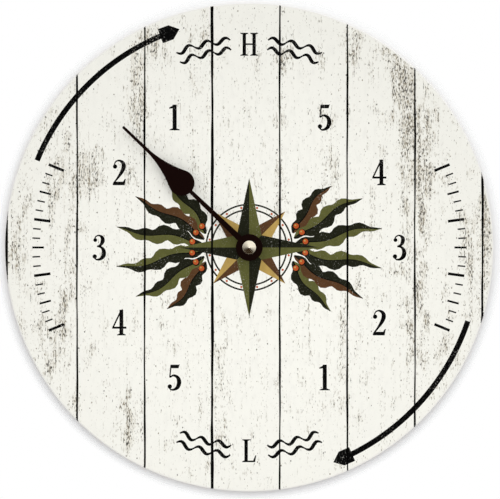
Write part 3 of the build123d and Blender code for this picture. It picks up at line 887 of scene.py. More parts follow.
@dataclass
class DialPrint:
    """Everything printed on the dial, sizes in mm and turns in degrees clockwise from the top."""

    arrow_radii: tuple[float, float] = (125.2, 126.0)
    arrow_line: float = 3.0
    arrow_starts: tuple[float, float] = (292.3, 108.6)
    arrow_sweep: float = 50.0
    arrow_steps: int = 36
    arrow_tuck_share: float = 0.95
    head_length: float = 11.2
    head_width: float = 8.2
    head_body_share: float = 0.56
    numeral_radius: float = 82.0
    numeral_height: float = 14.0
    numeral_step: float = 30.0
    stroke_steps: int = 6
    dot_sides: int = 20
    letter_radius: float = 111.0
    letter_height: float = 12.5
    wave_turns: tuple[float, float] = (5.2, 20.5)
    wave_swing: float = 1.5
    wave_width: float = 2.0
    wave_gap: float = 5.4
    wave_count: int = 3
    wave_steps: int = 40
    wave_thin_share: float = 0.35
    tick_outer: float = 118.5
    tick_step: float = 2.5
    tick_count: int = 19
    tick_kinds: tuple[tuple[int, float, float], ...] = ((6, 9.0, 1.5), (3, 6.4, 1.1), (1, 4.2, 0.8))
    tick_middles: tuple[float, float] = (90.0, 270.0)
    star_reach: float = 38.0
    star_diagonal: float = 28.0
    star_waist: float = 9.5
    ring_radii: tuple[float, float] = (20.5, 23.5)
    ring_line: float = 0.9
    ring_steps: int = 72
    ring_dots: int = 16
    ring_dot_radius: float = 0.63
    ring_dot_sides: int = 12
    kelp_root: float = 25.0
    root_share: float = 0.28
    kelp_fan: tuple[tuple[float, float, Ink, Ink], ...] = (
        (66.0, 34.0, Ink.BROWN, Ink.SHADE), (-62.0, 35.0, Ink.SHADE, Ink.OLIVE),
        (41.0, 44.0, Ink.SHADE, Ink.OLIVE), (-36.0, 45.0, Ink.BROWN, Ink.SHADE),
        (16.0, 49.0, Ink.OLIVE, Ink.SHADE), (-11.0, 49.0, Ink.SHADE, Ink.OLIVE),
    )
    blade_width: float = 8.6
    blade_sway: float = 14.0
    sway_count: int = 3
    blade_droop: float = 0.4
    blade_steps: int = 24
    blade_start: float = 0.03
    blade_belly: float = 0.85
    blade_tip: float = 0.15
    ruffle_share: float = 0.25
    ruffle_count: int = 9
    rib_width: float = 0.75
    rib_taper: float = 0.55
    float_step: int = 3
    float_rings: tuple[tuple[Ink, float, float], ...] = (
        (Ink.BLACK, 0.0, 1.9), (Ink.RUST, 0.2, 1.5), (Ink.OCHRE, 0.6, 0.5),
    )
    patches: list[Patch] = field(default_factory=list)

    def ribbon(self, ink: Ink, path: Sequence[PathPoint]) -> None:
        """Covers a path of varying width with four-sided patches.

        Args:
            ink: Ink to print it in.
            path: Places and widths along it, in mm.
        """
        sides: list[tuple[Point, Point]] = []
        for index, (x, y, width) in enumerate(path):
            before, after = path[max(index - 1, 0)], path[min(index + 1, len(path) - 1)]
            along = Vector((after[0] - before[0], after[1] - before[1])).normalized()
            half = width / 2
            across = (along.y * half, along.x * half)
            sides.append(((x - across[0], y + across[1]), (x + across[0], y - across[1])))
        for (left, right), (next_left, next_right) in zip(sides, sides[1:]):
            self.patches.append(Patch(ink, (left, right, next_right, next_left)))

    def arrows(self) -> None:
        """Prints the two arrows that run round the rim."""
        for start, radius in zip(self.arrow_starts, self.arrow_radii):
            end = start + self.arrow_sweep
            head = math.degrees(self.head_length / radius)
            reach = end - head * self.arrow_tuck_share - start
            turns = [start + reach * step / self.arrow_steps for step in range(self.arrow_steps + 1)]
            self.ribbon(Ink.BLACK, [(*polar(radius, turn), self.arrow_line) for turn in turns])
            root = Vector(polar(radius, end - head))
            tip = Vector(polar(radius, end))
            along = (tip - root).normalized()
            across = Vector((-along.y, along.x)) * self.head_width / 2
            shoulder = root + along * self.head_length * self.head_body_share
            corners = (root + across, root - across, shoulder - across, tip, shoulder + across)
            self.patches.append(Patch(Ink.BLACK, [tuple(corner) for corner in corners]))

    def glyph(self, sign: str, middle: Point, height: float) -> None:
        """Prints one upright numeral or letter.

        Args:
            sign: Which one.
            middle: Its middle in mm.
            height: Its height in mm.
        """
        shape = GLYPHS[sign]
        left, low = middle[0] - shape.width * height / 2, middle[1] - height / 2
        for stroke in shape.strokes:
            path = smooth(stroke, self.stroke_steps)
            self.ribbon(Ink.BLACK, [(left + x * height, low + y * height, w * height) for x, y, w in path])
        for block in shape.blocks:
            self.patches.append(Patch(Ink.BLACK, [(left + x * height, low + y * height) for x, y in block]))
        for x, y, radius in shape.balls:
            outline = circle((left + x * height, low + y * height), radius * height, self.dot_sides)
            self.patches.append(Patch(Ink.BLACK, outline))

    def numerals(self) -> None:
        """Prints the hours to the next turn of the tide, five down to one on each side."""
        for side in (0.0, FULL_TURN / 2):
            for place, sign in enumerate("54321", start=1):
                middle = polar(self.numeral_radius, side + place * self.numeral_step)
                self.glyph(sign, middle, self.numeral_height)

    def letters(self) -> None:
        """Prints the high and low marks, each between waves."""
        for sign, middle in (("H", 0.0), ("L", FULL_TURN / 2)):
            self.glyph(sign, polar(self.letter_radius, middle), self.letter_height)
            for side in (-1, 1):
                for row in (-0.5, 0.5):
                    self.wave(middle, side, self.letter_radius + row * self.wave_gap)

    def wave(self, middle: float, side: int, radius: float) -> None:
        """Prints one line of waves along the rim.

        Args:
            middle: Turn that the waves flank.
            side: Which way they run from it.
            radius: Radius that they swing about.
        """
        near, far = self.wave_turns
        path = []
        for step in range(self.wave_steps + 1):
            share = step / self.wave_steps
            turn = middle + side * (near + (far - near) * share)
            swing = self.wave_swing * math.sin(2 * math.pi * self.wave_count * share)
            crest = abs(math.sin(self.wave_count * math.pi * share))
            swell = self.wave_thin_share + (1 - self.wave_thin_share) * crest
            path.append((*polar(radius + swing, turn), self.wave_width * swell))
        self.ribbon(Ink.BLACK, path)

    def ticks(self) -> None:
        """Prints a scale of fine marks on each side, where the tide rises and falls."""
        for middle in self.tick_middles:
            for tick in range(self.tick_count):
                turn = middle + (tick - (self.tick_count - 1) / 2) * self.tick_step
                _, length, width = next(kind for kind in self.tick_kinds if tick % kind[0] == 0)
                ends = [(*polar(self.tick_outer - inset, turn), width) for inset in (0.0, length)]
                self.ribbon(Ink.BLACK, ends)

    def star(self) -> None:
        """Prints a plain compass star in two tones, with two rings behind it."""
        for radius in self.ring_radii:
            turns = [FULL_TURN * step / self.ring_steps for step in range(self.ring_steps + 1)]
            self.ribbon(Ink.SHADE, [(*polar(radius, turn), self.ring_line) for turn in turns])
        middle_ring = sum(self.ring_radii) / 2
        for dot in range(self.ring_dots):
            spot = polar(middle_ring, FULL_TURN * (dot + 0.5) / self.ring_dots)
            outline = circle(spot, self.ring_dot_radius, self.ring_dot_sides)
            self.patches.append(Patch(Ink.RUST, outline))
        points = ((EIGHTH_TURN, self.star_diagonal, Ink.BROWN, Ink.OCHRE),
                  (0.0, self.star_reach, Ink.SHADE, Ink.OLIVE))
        for first, reach, dark, light in points:
            for quarter in range(4):
                turn = first + quarter * QUARTER_TURN
                tip = polar(reach, turn)
                waists = [polar(self.star_waist, turn + side * EIGHTH_TURN) for side in (-1, 1)]
                self.patches.append(Patch(dark, [(0.0, 0.0), tip, waists[0]]))
                self.patches.append(Patch(light, [(0.0, 0.0), waists[1], tip]))

    def blade(self, root: Point, turn: float, length: float, bend: float, inks: Sequence[Ink]) -> Point:
        """Prints one blade of kelp with its rib.

        Args:
            root: Where it starts.
            turn: Way that it sets out, clockwise from the top.
            length: Length in mm.
            bend: How far it turns over its length, in degrees.
            inks: Inks of its two halves.

        Returns:
            The place of its float.
        """
        steps = self.blade_steps
        x, y = root
        rib: list[PathPoint] = []
        halves: tuple[list[PathPoint], list[PathPoint]] = ([], [])
        for step in range(steps + 1):
            share = step / steps
            sway = self.blade_sway * math.sin(self.sway_count * math.pi * share)
            heading = turn + bend * share + sway
            grown = self.blade_start + (1 - self.blade_start) * share ** self.blade_belly
            swell = math.sin(math.pi * grown)
            for sign, half in zip((1, -1), halves):
                ruffle = 1 + self.ruffle_share * math.sin(self.ruffle_count * math.pi * share + sign)
                width = max(self.blade_width / 2 * swell * ruffle, self.blade_tip)
                edge = polar(sign * width / 2, heading + QUARTER_TURN)
                half.append((x + edge[0], y + edge[1], width))
            rib.append((x, y, self.rib_width - self.rib_taper * share))
            ahead = polar(length / steps, heading)
            x, y = x + ahead[0], y + ahead[1]
        for ink, half in zip(inks, halves):
            self.ribbon(ink, half)
        self.ribbon(Ink.BLACK, rib)
        return rib[self.float_step][:2]

    def kelp(self) -> None:
        """Prints a fan of kelp on each side of the star, with a round float on each blade."""
        floats = []
        for side in (0.0, FULL_TURN / 2):
            level = side + QUARTER_TURN
            for lift, length, *inks in self.kelp_fan:
                root = polar(self.kelp_root, level - lift * self.root_share)
                floats.append(self.blade(root, level - lift, length, lift * self.blade_droop, inks))
        for x, y in floats:
            for ink, shift, radius in self.float_rings:
                self.patches.append(Patch(ink, circle((x - shift, y + shift), radius, self.dot_sides)))

    def draw(self) -> list[Patch]:
        """Prints the whole dial.

        Returns:
            The printed areas, later ones over earlier ones.
        """
        self.kelp()
        self.star()
        self.ticks()
        self.letters()
        self.numerals()
        self.arrows()
        return self.patches


class BoardFace(Enum):
    """Finishes of the board, in the order of its material slots."""

    PAINT = 0
    GROOVE = 1
    EDGE = 2
    BACK = 3


@dataclass(frozen=True)
class Sway:
    """A slow swing along the seams, which differs from seam to seam."""

    swing: float
    length: float
    phase: float

    def at(self, seam: int, height: float) -> float:
        """Gives the swing of one seam at a height on the dial."""
        return self.swing * math.sin(height / self.length + seam * self.phase)


@dataclass(frozen=True)
class DialFace:
    """The board's face while it is built: its places on the dial, their points and its open edges."""

    flat: Sequence[Vector]
    points: Sequence[bmesh.types.BMVert]
    open_edges: Sequence[tuple[int, int]]


@dataclass
class Dial:
    """Round board of the clock with plank seams and its print, sizes in mm."""

    TITLE: ClassVar[str] = "dial"
    NODE: ClassVar[str] = "dial_board"
    shadow: Moulded = Moulded("seam_shadow", tone(8, 8, 7), roughness=0.8, grain=0.5, depth=0.05, soften=0.0,
                              shine=0.05)
    edging: Moulded = Moulded("edge_paint", tone(232, 231, 225), roughness=0.5, grain=0.6, stray=0.03,
                              soften=0.0)
    plank_width: float = 36.9
    seam_shift: float = 16.7
    seam_width: float = 0.95
    wide_seams: dict[int, float] = field(default_factory=lambda: {-1: 1.4, 3: 1.15})
    rim_seam: int = -4
    rim_seam_inset: float = 0.65
    rim_seam_width: float = 1.8
    seam_depth: float = 0.7
    seam_sways: tuple[Sway, ...] = (Sway(0.1, 17.0, 2.3), Sway(0.05, 5.1, 1.0))
    width_sways: tuple[Sway, ...] = (Sway(0.2, 13.0, 1.7), Sway(0.08, 2.9, 1.0))
    seam_step: float = 3.5
    edge_round: float = 0.8
    edge_steps: int = 4
    hole_diameter: float = 8.3
    outline_sides: int = 720
    hole_sides: int = 64
    lattice: float = 5.0
    merge_reach: float = 1e-5
    sharp_angle: float = 30.0

    def __post_init__(self) -> None:
        """Takes the board's place and size from the frame."""
        low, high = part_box(self.NODE)
        self.radius = (high.x - low.x) / 2 / MM
        self.front = low.y / MM
        self.thickness = (high.y - low.y) / MM
        reach = self.radius - self.seam_width
        first = math.ceil((-reach - self.seam_shift) / self.plank_width)
        last = math.floor((reach - self.seam_shift) / self.plank_width)
        self.seams = range(first, last + 1)

    def seam_middle(self, seam: int, height: float) -> float:
        """Gives where a seam runs, a little off a straight line.

        Args:
            seam: Number of the seam.
            height: Place up the dial.

        Returns:
            The place across the dial.
        """
        if seam == self.rim_seam:
            return self.rim_seam_inset - self.radius
        wander = sum(sway.at(seam, height) for sway in self.seam_sways)
        return self.seam_shift + seam * self.plank_width + wander

    def seam_half(self, seam: int, height: float) -> float:
        """Gives half of a seam's width.

        Args:
            seam: Number of the seam.
            height: Place up the dial.

        Returns:
            Half of the width there.
        """
        if seam == self.rim_seam:
            return self.rim_seam_width / 2
        width = self.wide_seams.get(seam, self.seam_width)
        wander = sum(sway.at(seam, height) for sway in self.width_sways)
        return width / 2 * (1 + wander)

    def groove(self, x: float, y: float) -> float:
        """Gives how deep the seams cut the face at a point.

        Args:
            x: Place across the dial.
            y: Place up the dial.

        Returns:
            The depth below the face, zero off the seams.
        """
        seam = round((x - self.seam_shift) / self.plank_width)
        if seam not in self.seams:
            return 0.0
        away = abs(x - self.seam_middle(seam, y)) / self.seam_half(seam, y)
        return self.seam_depth * max(0.0, 1 - away)

    def seam_outlines(self) -> list[list[Point]]:
        """Outlines the two halves of each seam, past the rim.

        Returns:
            The outlines, two for each seam.
        """
        count = math.ceil(2 * self.radius / self.seam_step) + 2
        heights = [(step - count / 2) * self.seam_step for step in range(count + 1)]
        outlines = []
        for seam in self.seams:
            middle = [(self.seam_middle(seam, y), y) for y in heights]
            left = [(x - self.seam_half(seam, y), y) for x, y in middle]
            right = [(x + self.seam_half(seam, y), y) for x, y in middle]
            outlines.append([*middle, *left[::-1]])
            outlines.append([*right, *middle[::-1]])
        return outlines

    def lattice_points(self, reach: float) -> list[Point]:
        """Spreads points evenly, to carry the wear of the paint.

        Args:
            reach: Radius to stay inside.

        Returns:
            The points.
        """
        count = math.floor(reach / self.lattice)
        steps = [step * self.lattice for step in range(-count, count + 1)]
        return [(x, y) for x in steps for y in steps if math.hypot(x, y) < reach - self.lattice / 2]

    def rim_profile(self) -> list[Point]:
        """Draws the section of the rounded rim.

        Returns:
            Insets from the edge and depths below the face, from front to back.
        """
        quarter = [math.pi / 2 * step / self.edge_steps for step in range(self.edge_steps + 1)]
        falls = [self.edge_round * (1 - math.cos(turn)) for turn in quarter]
        rises = [self.edge_round * (1 - math.sin(turn)) for turn in quarter]
        return [*zip(rises, falls), *((fall, self.thickness - rise) for fall, rise in zip(falls, rises))]

    def point(self, x: float, y: float, depth: float) -> Vector:
        """Gives a dial point as a place in the frame, in metres."""
        return Vector((x, self.front + depth, y)) * MM

    def build(self) -> list[bpy.types.Object]:
        """Builds and dresses the board.

        Returns:
            The board, in place of the plain one.
        """
        work = bmesh.new()
        self.close(work, self.lay_face(work))
        for vertex in [vertex for vertex in work.verts if not vertex.link_faces]:
            work.verts.remove(vertex)
        board = new_piece("printed_board", work)
        board.data.polygons.foreach_set("use_smooth", [True] * len(board.data.polygons))
        board.data.set_sharp_from_angle(angle=math.radians(self.sharp_angle))
        self.dress(board)
        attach(board, Body.CLOCK.value)
        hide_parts(self.NODE)
        return [board]

    def lay_face(self, work: bmesh.types.BMesh) -> DialFace:
        """Lays the printed face, cut by its seams.

        Args:
            work: Mesh to build in.

        Returns:
            The face, to close the board from.
        """
        patches = DialPrint().draw()
        inks = list(Ink)
        flat_radius = self.radius - self.edge_round
        outlines = [circle((0.0, 0.0), flat_radius, self.outline_sides),
                    circle((0.0, 0.0), self.hole_diameter / 2, self.hole_sides), *self.seam_outlines()]
        rim, hole, first_patch = 0, 1, len(outlines)
        outlines.extend(patch.outline for patch in patches)
        places: list[Vector] = []
        loops: list[list[int]] = []
        for outline in outlines:
            loops.append(list(range(len(places), len(places) + len(outline))))
            places.extend(Vector(place) for place in outline)
        places.extend(Vector(place) for place in self.lattice_points(flat_radius))
        flat, _, cells, _, _, covers = delaunay_2d_cdt(places, [], loops, 0, self.merge_reach, True)
        worn = work.verts.layers.float.new(Whitewash.WORN)
        points = [work.verts.new(self.point(x, y, self.groove(x, y))) for x, y in flat]
        for (x, y), vertex in zip(flat, points):
            vertex[worn] = 1 - math.prod(1 - place.share(x, y) for place in WORN_PLACES)
        sides: dict[tuple[int, int], None] = {}
        for cell, cover in zip(cells, covers):
            if rim not in cover or hole in cover:
                continue
            printed = [index for index in cover if index >= first_patch]
            face = work.faces.new([points[index] for index in cell])
            face.material_index = BoardFace.PAINT.value
            if any(hole < index < first_patch for index in cover):
                face.material_index = BoardFace.GROOVE.value
            elif printed:
                face.material_index = len(BoardFace) + inks.index(patches[max(printed) - first_patch].ink)
            sides.update(dict.fromkeys(zip(cell, [*cell[1:], cell[0]])))
        return DialFace(flat, points, [side for side in sides if side[::-1] not in sides])

    def close(self, work: bmesh.types.BMesh, laid: DialFace) -> None:
        """Adds the rim, the wall of the shaft hole and the back.

        Args:
            work: Mesh that holds the face.
            laid: The face.
        """
        profile = self.rim_profile()
        chains: dict[int, list[bmesh.types.BMVert]] = {}

        def chain(index: int) -> list[bmesh.types.BMVert]:
            """Runs from the face round to the back.

            Args:
                index: Point of the face's outline.

            Returns:
                The points on the way.
            """
            if index not in chains:
                x, y = laid.flat[index]
                away = math.hypot(x, y)
                points = [laid.points[index]]
                if away < self.radius / 2:
                    points.append(work.verts.new(self.point(x, y, self.thickness)))
                else:
                    cut = self.groove(x, y)
                    for inset, depth in profile[1:]:
                        share = (self.radius - inset) / away
                        points.append(work.verts.new(self.point(x * share, y * share, max(depth, cut))))
                chains[index] = points
            return chains[index]

        back_edges = []
        for start, end in laid.open_edges:
            first, second = chain(start), chain(end)
            for step in range(len(first) - 1):
                face = work.faces.new((second[step], first[step], first[step + 1], second[step + 1]))
                middle = face.calc_center_median() / MM
                cut = profile[step + 1][1] <= self.edge_round and self.groove(middle.x, middle.z) > 0
                face.material_index = BoardFace.GROOVE.value if cut else BoardFace.EDGE.value
            back_edges.append(work.edges.get((first[-1], second[-1])))
        filled = bmesh.ops.triangle_fill(work, edges=back_edges, use_beauty=True, normal=(0.0, 1.0, 0.0))
        for face in (part for part in filled["geom"] if isinstance(part, bmesh.types.BMFace)):
            face.material_index = BoardFace.BACK.value
            if face.normal.y < 0:
                face.normal_flip()

    def dress(self, board: bpy.types.Object) -> None:
        """Gives the board its paint, grooves, edge, back and inks.

        Args:
            board: The board.
        """
        paint = Whitewash(self.radius, self.plank_width, self.seam_shift)
        for finish in (paint, self.shadow, self.edging, Fibreboard(), *(PrintInk(paint, ink) for ink in Ink)):
            board.data.materials.append(finish.make())


Finish = Union[Moulded, Metal, CellJacket]


@cache
def material_of(finish: Finish) -> bpy.types.Material:
    """Makes each finish once and returns its material."""
    return finish.make()


BRASS = Metal("brass", tone(206, 172, 104), roughness=0.3, marks=(0.5, 0.1, 0.5))
STEEL = Metal("spring_steel", tone(186, 188, 192), roughness=0.28, marks=(0.3, 0.3, 1.5))
GEAR = Moulded("gear_plastic", tone(228, 224, 208), roughness=0.4, grain=0.25, depth=0.005)
BOBBIN = Moulded("bobbin_plastic", tone(194, 194, 186), roughness=0.45, grain=0.25, depth=0.006)


class SubAssembly:
    """What the sub-assemblies share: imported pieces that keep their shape, and pieces made here."""

    TITLE: ClassVar[str]

    def finishes(self) -> dict[str, Finish]:
        """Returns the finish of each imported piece, by its node."""
        raise NotImplementedError

    def build(self) -> list[bpy.types.Object]:
        """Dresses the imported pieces.

        Returns:
            The dressed pieces.
        """
        pieces = []
        for node, finish in self.finishes().items():
            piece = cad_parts[node]
            for slot in piece.material_slots:
                slot.material = material_of(finish)
            pieces.append(piece)
        return pieces

    def add(self, piece: bpy.types.Object, finish: Finish, body: Body, slot: str) -> bpy.types.Object:
        """Dresses a piece made here and sets what it moves with.

        Args:
            piece: The new piece.
            finish: Its finish.
            body: The body that carries it.
            slot: Not used.

        Returns:
            The same piece.
        """
        piece.data.materials.append(material_of(finish))
        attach(piece, body.value)
        return piece


@dataclass
class HandSet(SubAssembly):
    """Spade hand with the collet, cap nut and arbor that hold it."""

    TITLE: ClassVar[str] = "hand set"
    lacquer: Moulded = Moulded("hand_lacquer", tone(8, 2, 2), roughness=0.32, grain=0.25, depth=0.004,
                               soften=0.15, shine=0.05, glint=(1.0, 0.45, 0.35, 1.0))
    cap: Metal = Metal("cap_metal", tone(248, 239, 218), roughness=0.2, marks=(0.6, 1.2, 0.6), depth=0.001,
                       tarnish=0.06, soften=0.0)

    def finishes(self) -> dict[str, Finish]:
        """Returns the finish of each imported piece, by its node."""
        return {"tide_hand": self.lacquer, "hand_collet": BRASS, "cap_nut": self.cap, "tide_arbor": BRASS}


@dataclass
class MovementShell(SubAssembly):
    """Case, cover and hanger of the movement, and what clamps it to the board."""

    TITLE: ClassVar[str] = "movement shell"
    case: Moulded = Moulded("case_plastic", tone(30, 30, 32), roughness=0.55, grain=0.35, depth=0.02)
    cover: Moulded = Moulded("cover_plastic", tone(34, 34, 36), roughness=0.5, grain=0.35, depth=0.015)
    loop: Moulded = Moulded("loop_plastic", tone(36, 36, 38), roughness=0.5, grain=0.35, depth=0.015)
    rubber: Moulded = Moulded("gasket_rubber", tone(32, 31, 30), roughness=0.75, grain=0.3, depth=0.02)

    def finishes(self) -> dict[str, Finish]:
        """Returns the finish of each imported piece, by its node."""
        return {"movement_case": self.case, "rear_cover": self.cover, "hanger_loop": self.loop,
                "dial_gasket": self.rubber, "dial_washer": BRASS, "dial_nut": BRASS}


@dataclass
class SettingGear(SubAssembly):
    """Setting knob with a ring of grip ribs on its face, and the wheel on its stem, sizes in mm."""

    TITLE: ClassVar[str] = "setting gear"
    KNOB: ClassVar[str] = "set_knob"
    plastic: Moulded = Moulded("knob_plastic", tone(188, 36, 34), roughness=0.42, grain=0.3, depth=0.01)
    rib_count: int = 9
    rib_reach: tuple[float, float] = (2.1, 4.5)
    rib_width: float = 0.9
    rib_height: float = 0.25
    rib_root: float = 0.05
    rib_round: float = 0.12

    def finishes(self) -> dict[str, Finish]:
        """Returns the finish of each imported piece, by its node."""
        return {self.KNOB: self.plastic, "set_wheel": GEAR}

    def build(self) -> list[bpy.types.Object]:
        """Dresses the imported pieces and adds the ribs.

        Returns:
            The dressed pieces.
        """
        return [*super().build(), self.add(self.ribs(), self.plastic, Body.SET_KNOB, "knob_plastic")]

    def ribs(self) -> bpy.types.Object:
        """Raises the ribs that a finger turns the knob by.

        Returns:
            The ribs, as one piece.
        """
        low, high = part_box(self.KNOB)
        middle = (low + high) / 2
        work = bmesh.new()
        half = self.rib_width / 2
        near, far = self.rib_reach
        for rib in range(self.rib_count):
            turn = math.radians(FULL_TURN * rib / self.rib_count)
            outline = []
            for along, across in ((near, -half), (far, -half), (far, half), (near, half)):
                x = along * math.cos(turn) - across * math.sin(turn)
                z = along * math.sin(turn) + across * math.cos(turn)
                outline.append((middle.x + x * MM, middle.z + z * MM))
            raise_outline(work, outline, high.y - self.rib_root * MM, high.y + self.rib_height * MM,
                          self.rib_round * MM)
        return new_piece("knob_ribs", work)


@dataclass
class GearTrain(SubAssembly):
    """Wheels from the clutch to the fast wheel, and the bridge that carries them."""

    TITLE: ClassVar[str] = "gear train"

    def finishes(self) -> dict[str, Finish]:
        """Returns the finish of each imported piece, by its node."""
        wheels = ("tide_wheel", "clutch_wheel", "slow_wheel", "fast_wheel")
        return {**{wheel: GEAR for wheel in wheels}, "clutch_spring": STEEL, "train_bridge": BOBBIN}


@dataclass
class StepMotor(SubAssembly):
    """Rotor, stator and wound coil of the stepping motor, sizes in mm."""

    TITLE: ClassVar[str] = "step motor"
    WINDING: ClassVar[str] = "coil_winding"
    magnet: Moulded = Moulded("magnet", tone(70, 68, 66), roughness=0.5, grain=0.2, depth=0.01)
    iron: Metal = Metal("soft_iron", tone(150, 150, 152), roughness=0.4, marks=(0.3, 0.3, 0.3))
    copper: Metal = Metal("copper_wire", tone(196, 112, 64), roughness=0.3, marks=(0.14, 3.0, 3.0),
                          depth=0.003)
    inner_diameter: float = 3.84
    wire_pitch: float = 0.4
    wire_crown: float = 0.14
    wire_steps: int = 4
    sides: int = 36

    def finishes(self) -> dict[str, Finish]:
        """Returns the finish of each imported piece, by its node."""
        return {"rotor_pinion": GEAR, "rotor_magnet": self.magnet, "stator_plate": self.iron,
                "coil_core": self.iron, "coil_bobbin": BOBBIN}

    def build(self) -> list[bpy.types.Object]:
        """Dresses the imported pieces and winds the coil.

        Returns:
            The dressed pieces.
        """
        coil = self.add(self.coil(), self.copper, Body.CLOCK, "copper_wire")
        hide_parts(self.WINDING)
        return [*super().build(), coil]

    def coil(self) -> bpy.types.Object:
        """Winds the outer turns of the wire.

        Returns:
            The winding.
        """
        low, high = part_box(self.WINDING)
        middle = (low + high) / 2
        outer = (high.x - low.x) / 2
        turns = round((high.z - low.z) / (self.wire_pitch * MM))
        steps = turns * self.wire_steps
        profile = [(self.inner_diameter / 2 * MM, low.z)]
        for step in range(steps + 1):
            crown = abs(math.sin(math.pi * step / self.wire_steps))
            height = low.z + (high.z - low.z) * step / steps
            profile.append((outer - self.wire_crown * MM * (1 - crown), height))
        profile.append((self.inner_diameter / 2 * MM, high.z))
        work = bmesh.new()
        rings = []
        for radius, height in profile:
            outline = circle((middle.x, middle.y), radius, self.sides)
            rings.append([work.verts.new((x, y, height)) for x, y in outline])
        for ring, following in zip(rings, [*rings[1:], rings[0]]):
            for side in range(self.sides):
                after = (side + 1) % self.sides
                face = work.faces.new((ring[side], ring[after], following[after], following[side]))
                face.smooth = True
        bmesh.ops.recalc_face_normals(work, faces=list(work.faces))
        return new_piece("wound_coil", work)


@dataclass
class Circuit(SubAssembly):
    """Circuit board with its chip and crystal."""

    TITLE: ClassVar[str] = "circuit"
    laminate: Moulded = Moulded("circuit_green", tone(26, 92, 58), roughness=0.35, grain=0.4, depth=0.01)
    resin: Moulded = Moulded("resin", tone(18, 18, 20), roughness=0.28, grain=0.8, depth=0.01)
    can: Metal = Metal("crystal_can", tone(202, 204, 208), roughness=0.22, marks=(1.2, 0.2, 0.2))

    def finishes(self) -> dict[str, Finish]:
        """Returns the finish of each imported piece, by its node."""
        return {"circuit_board": self.laminate, "chip_cover": self.resin, "quartz_crystal": self.can}


@dataclass
class BatteryBay(SubAssembly):
    """Cell, its two contacts and the polarity signs on the floor of its bay, sizes in mm."""

    TITLE: ClassVar[str] = "battery bay"
    CELL: ClassVar[str] = "battery"
    jacket: CellJacket = CellJacket("cell_jacket", tone(46, 74, 104), tone(196, 196, 192))
    moulding: Moulded = MovementShell.case
    floor_gap: float = 0.1
    sign_size: float = 3.2
    sign_line: float = 0.8
    sign_height: float = 0.35
    sign_root: float = 0.05
    sign_round: float = 0.1
    sign_inset: float = 8.0
    sign_offset: float = 4.5

    def finishes(self) -> dict[str, Finish]:
        """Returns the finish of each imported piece, by its node."""
        return {"contact_plus": STEEL, "contact_minus": STEEL, self.CELL: self.jacket}

    def build(self) -> list[bpy.types.Object]:
        """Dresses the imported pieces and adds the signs.

        Returns:
            The dressed pieces.
        """
        return [*super().build(), self.add(self.signs(), self.moulding, Body.CLOCK, "case_plastic")]

    def signs(self) -> bpy.types.Object:
        """Raises the plus and the minus, beside the ends of the cell.

        Returns:
            The signs, as one piece.
        """
        low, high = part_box(self.CELL)
        floor = low.y - self.floor_gap * MM
        line, end = self.sign_line / 2, self.sign_size / 2
        plus = [(line, line), (line, end), (-line, end), (-line, line), (-end, line), (-end, -line),
                (-line, -line), (-line, -end), (line, -end), (line, -line), (end, -line), (end, line)]
        minus = [(-end, -line), (end, -line), (end, line), (-end, line)]
        height = (low.z + high.z) / 2 + self.sign_offset * MM
        work = bmesh.new()
        for place, sign in ((high.x - self.sign_inset * MM, plus), (low.x + self.sign_inset * MM, minus)):
            outline = [(place + x * MM, height + z * MM) for x, z in sign]
            raise_outline(work, outline, floor - self.sign_root * MM, floor + self.sign_height * MM,
                          self.sign_round * MM)
        return new_piece("polarity_signs", work)


@dataclass(frozen=True)
class Lamp:
    """A soft square lamp, in metres and watts."""

    name: str
    place: tuple[float, float, float]
    size: float
    power: float

    def light(self, target: Vector) -> None:
        """Hangs the lamp and points it at a place.

        Args:
            target: Place that it points at.
        """
        data = bpy.data.lights.new(self.name, "AREA")
        data.size = self.size
        data.energy = self.power
        lamp = bpy.data.objects.new(self.name, data)
        lamp.location = self.place
        lamp.rotation_euler = (target - lamp.location).to_track_quat("-Z", "Y").to_euler()
        lamp.visible_camera = False
        bpy.context.scene.collection.objects.link(lamp)


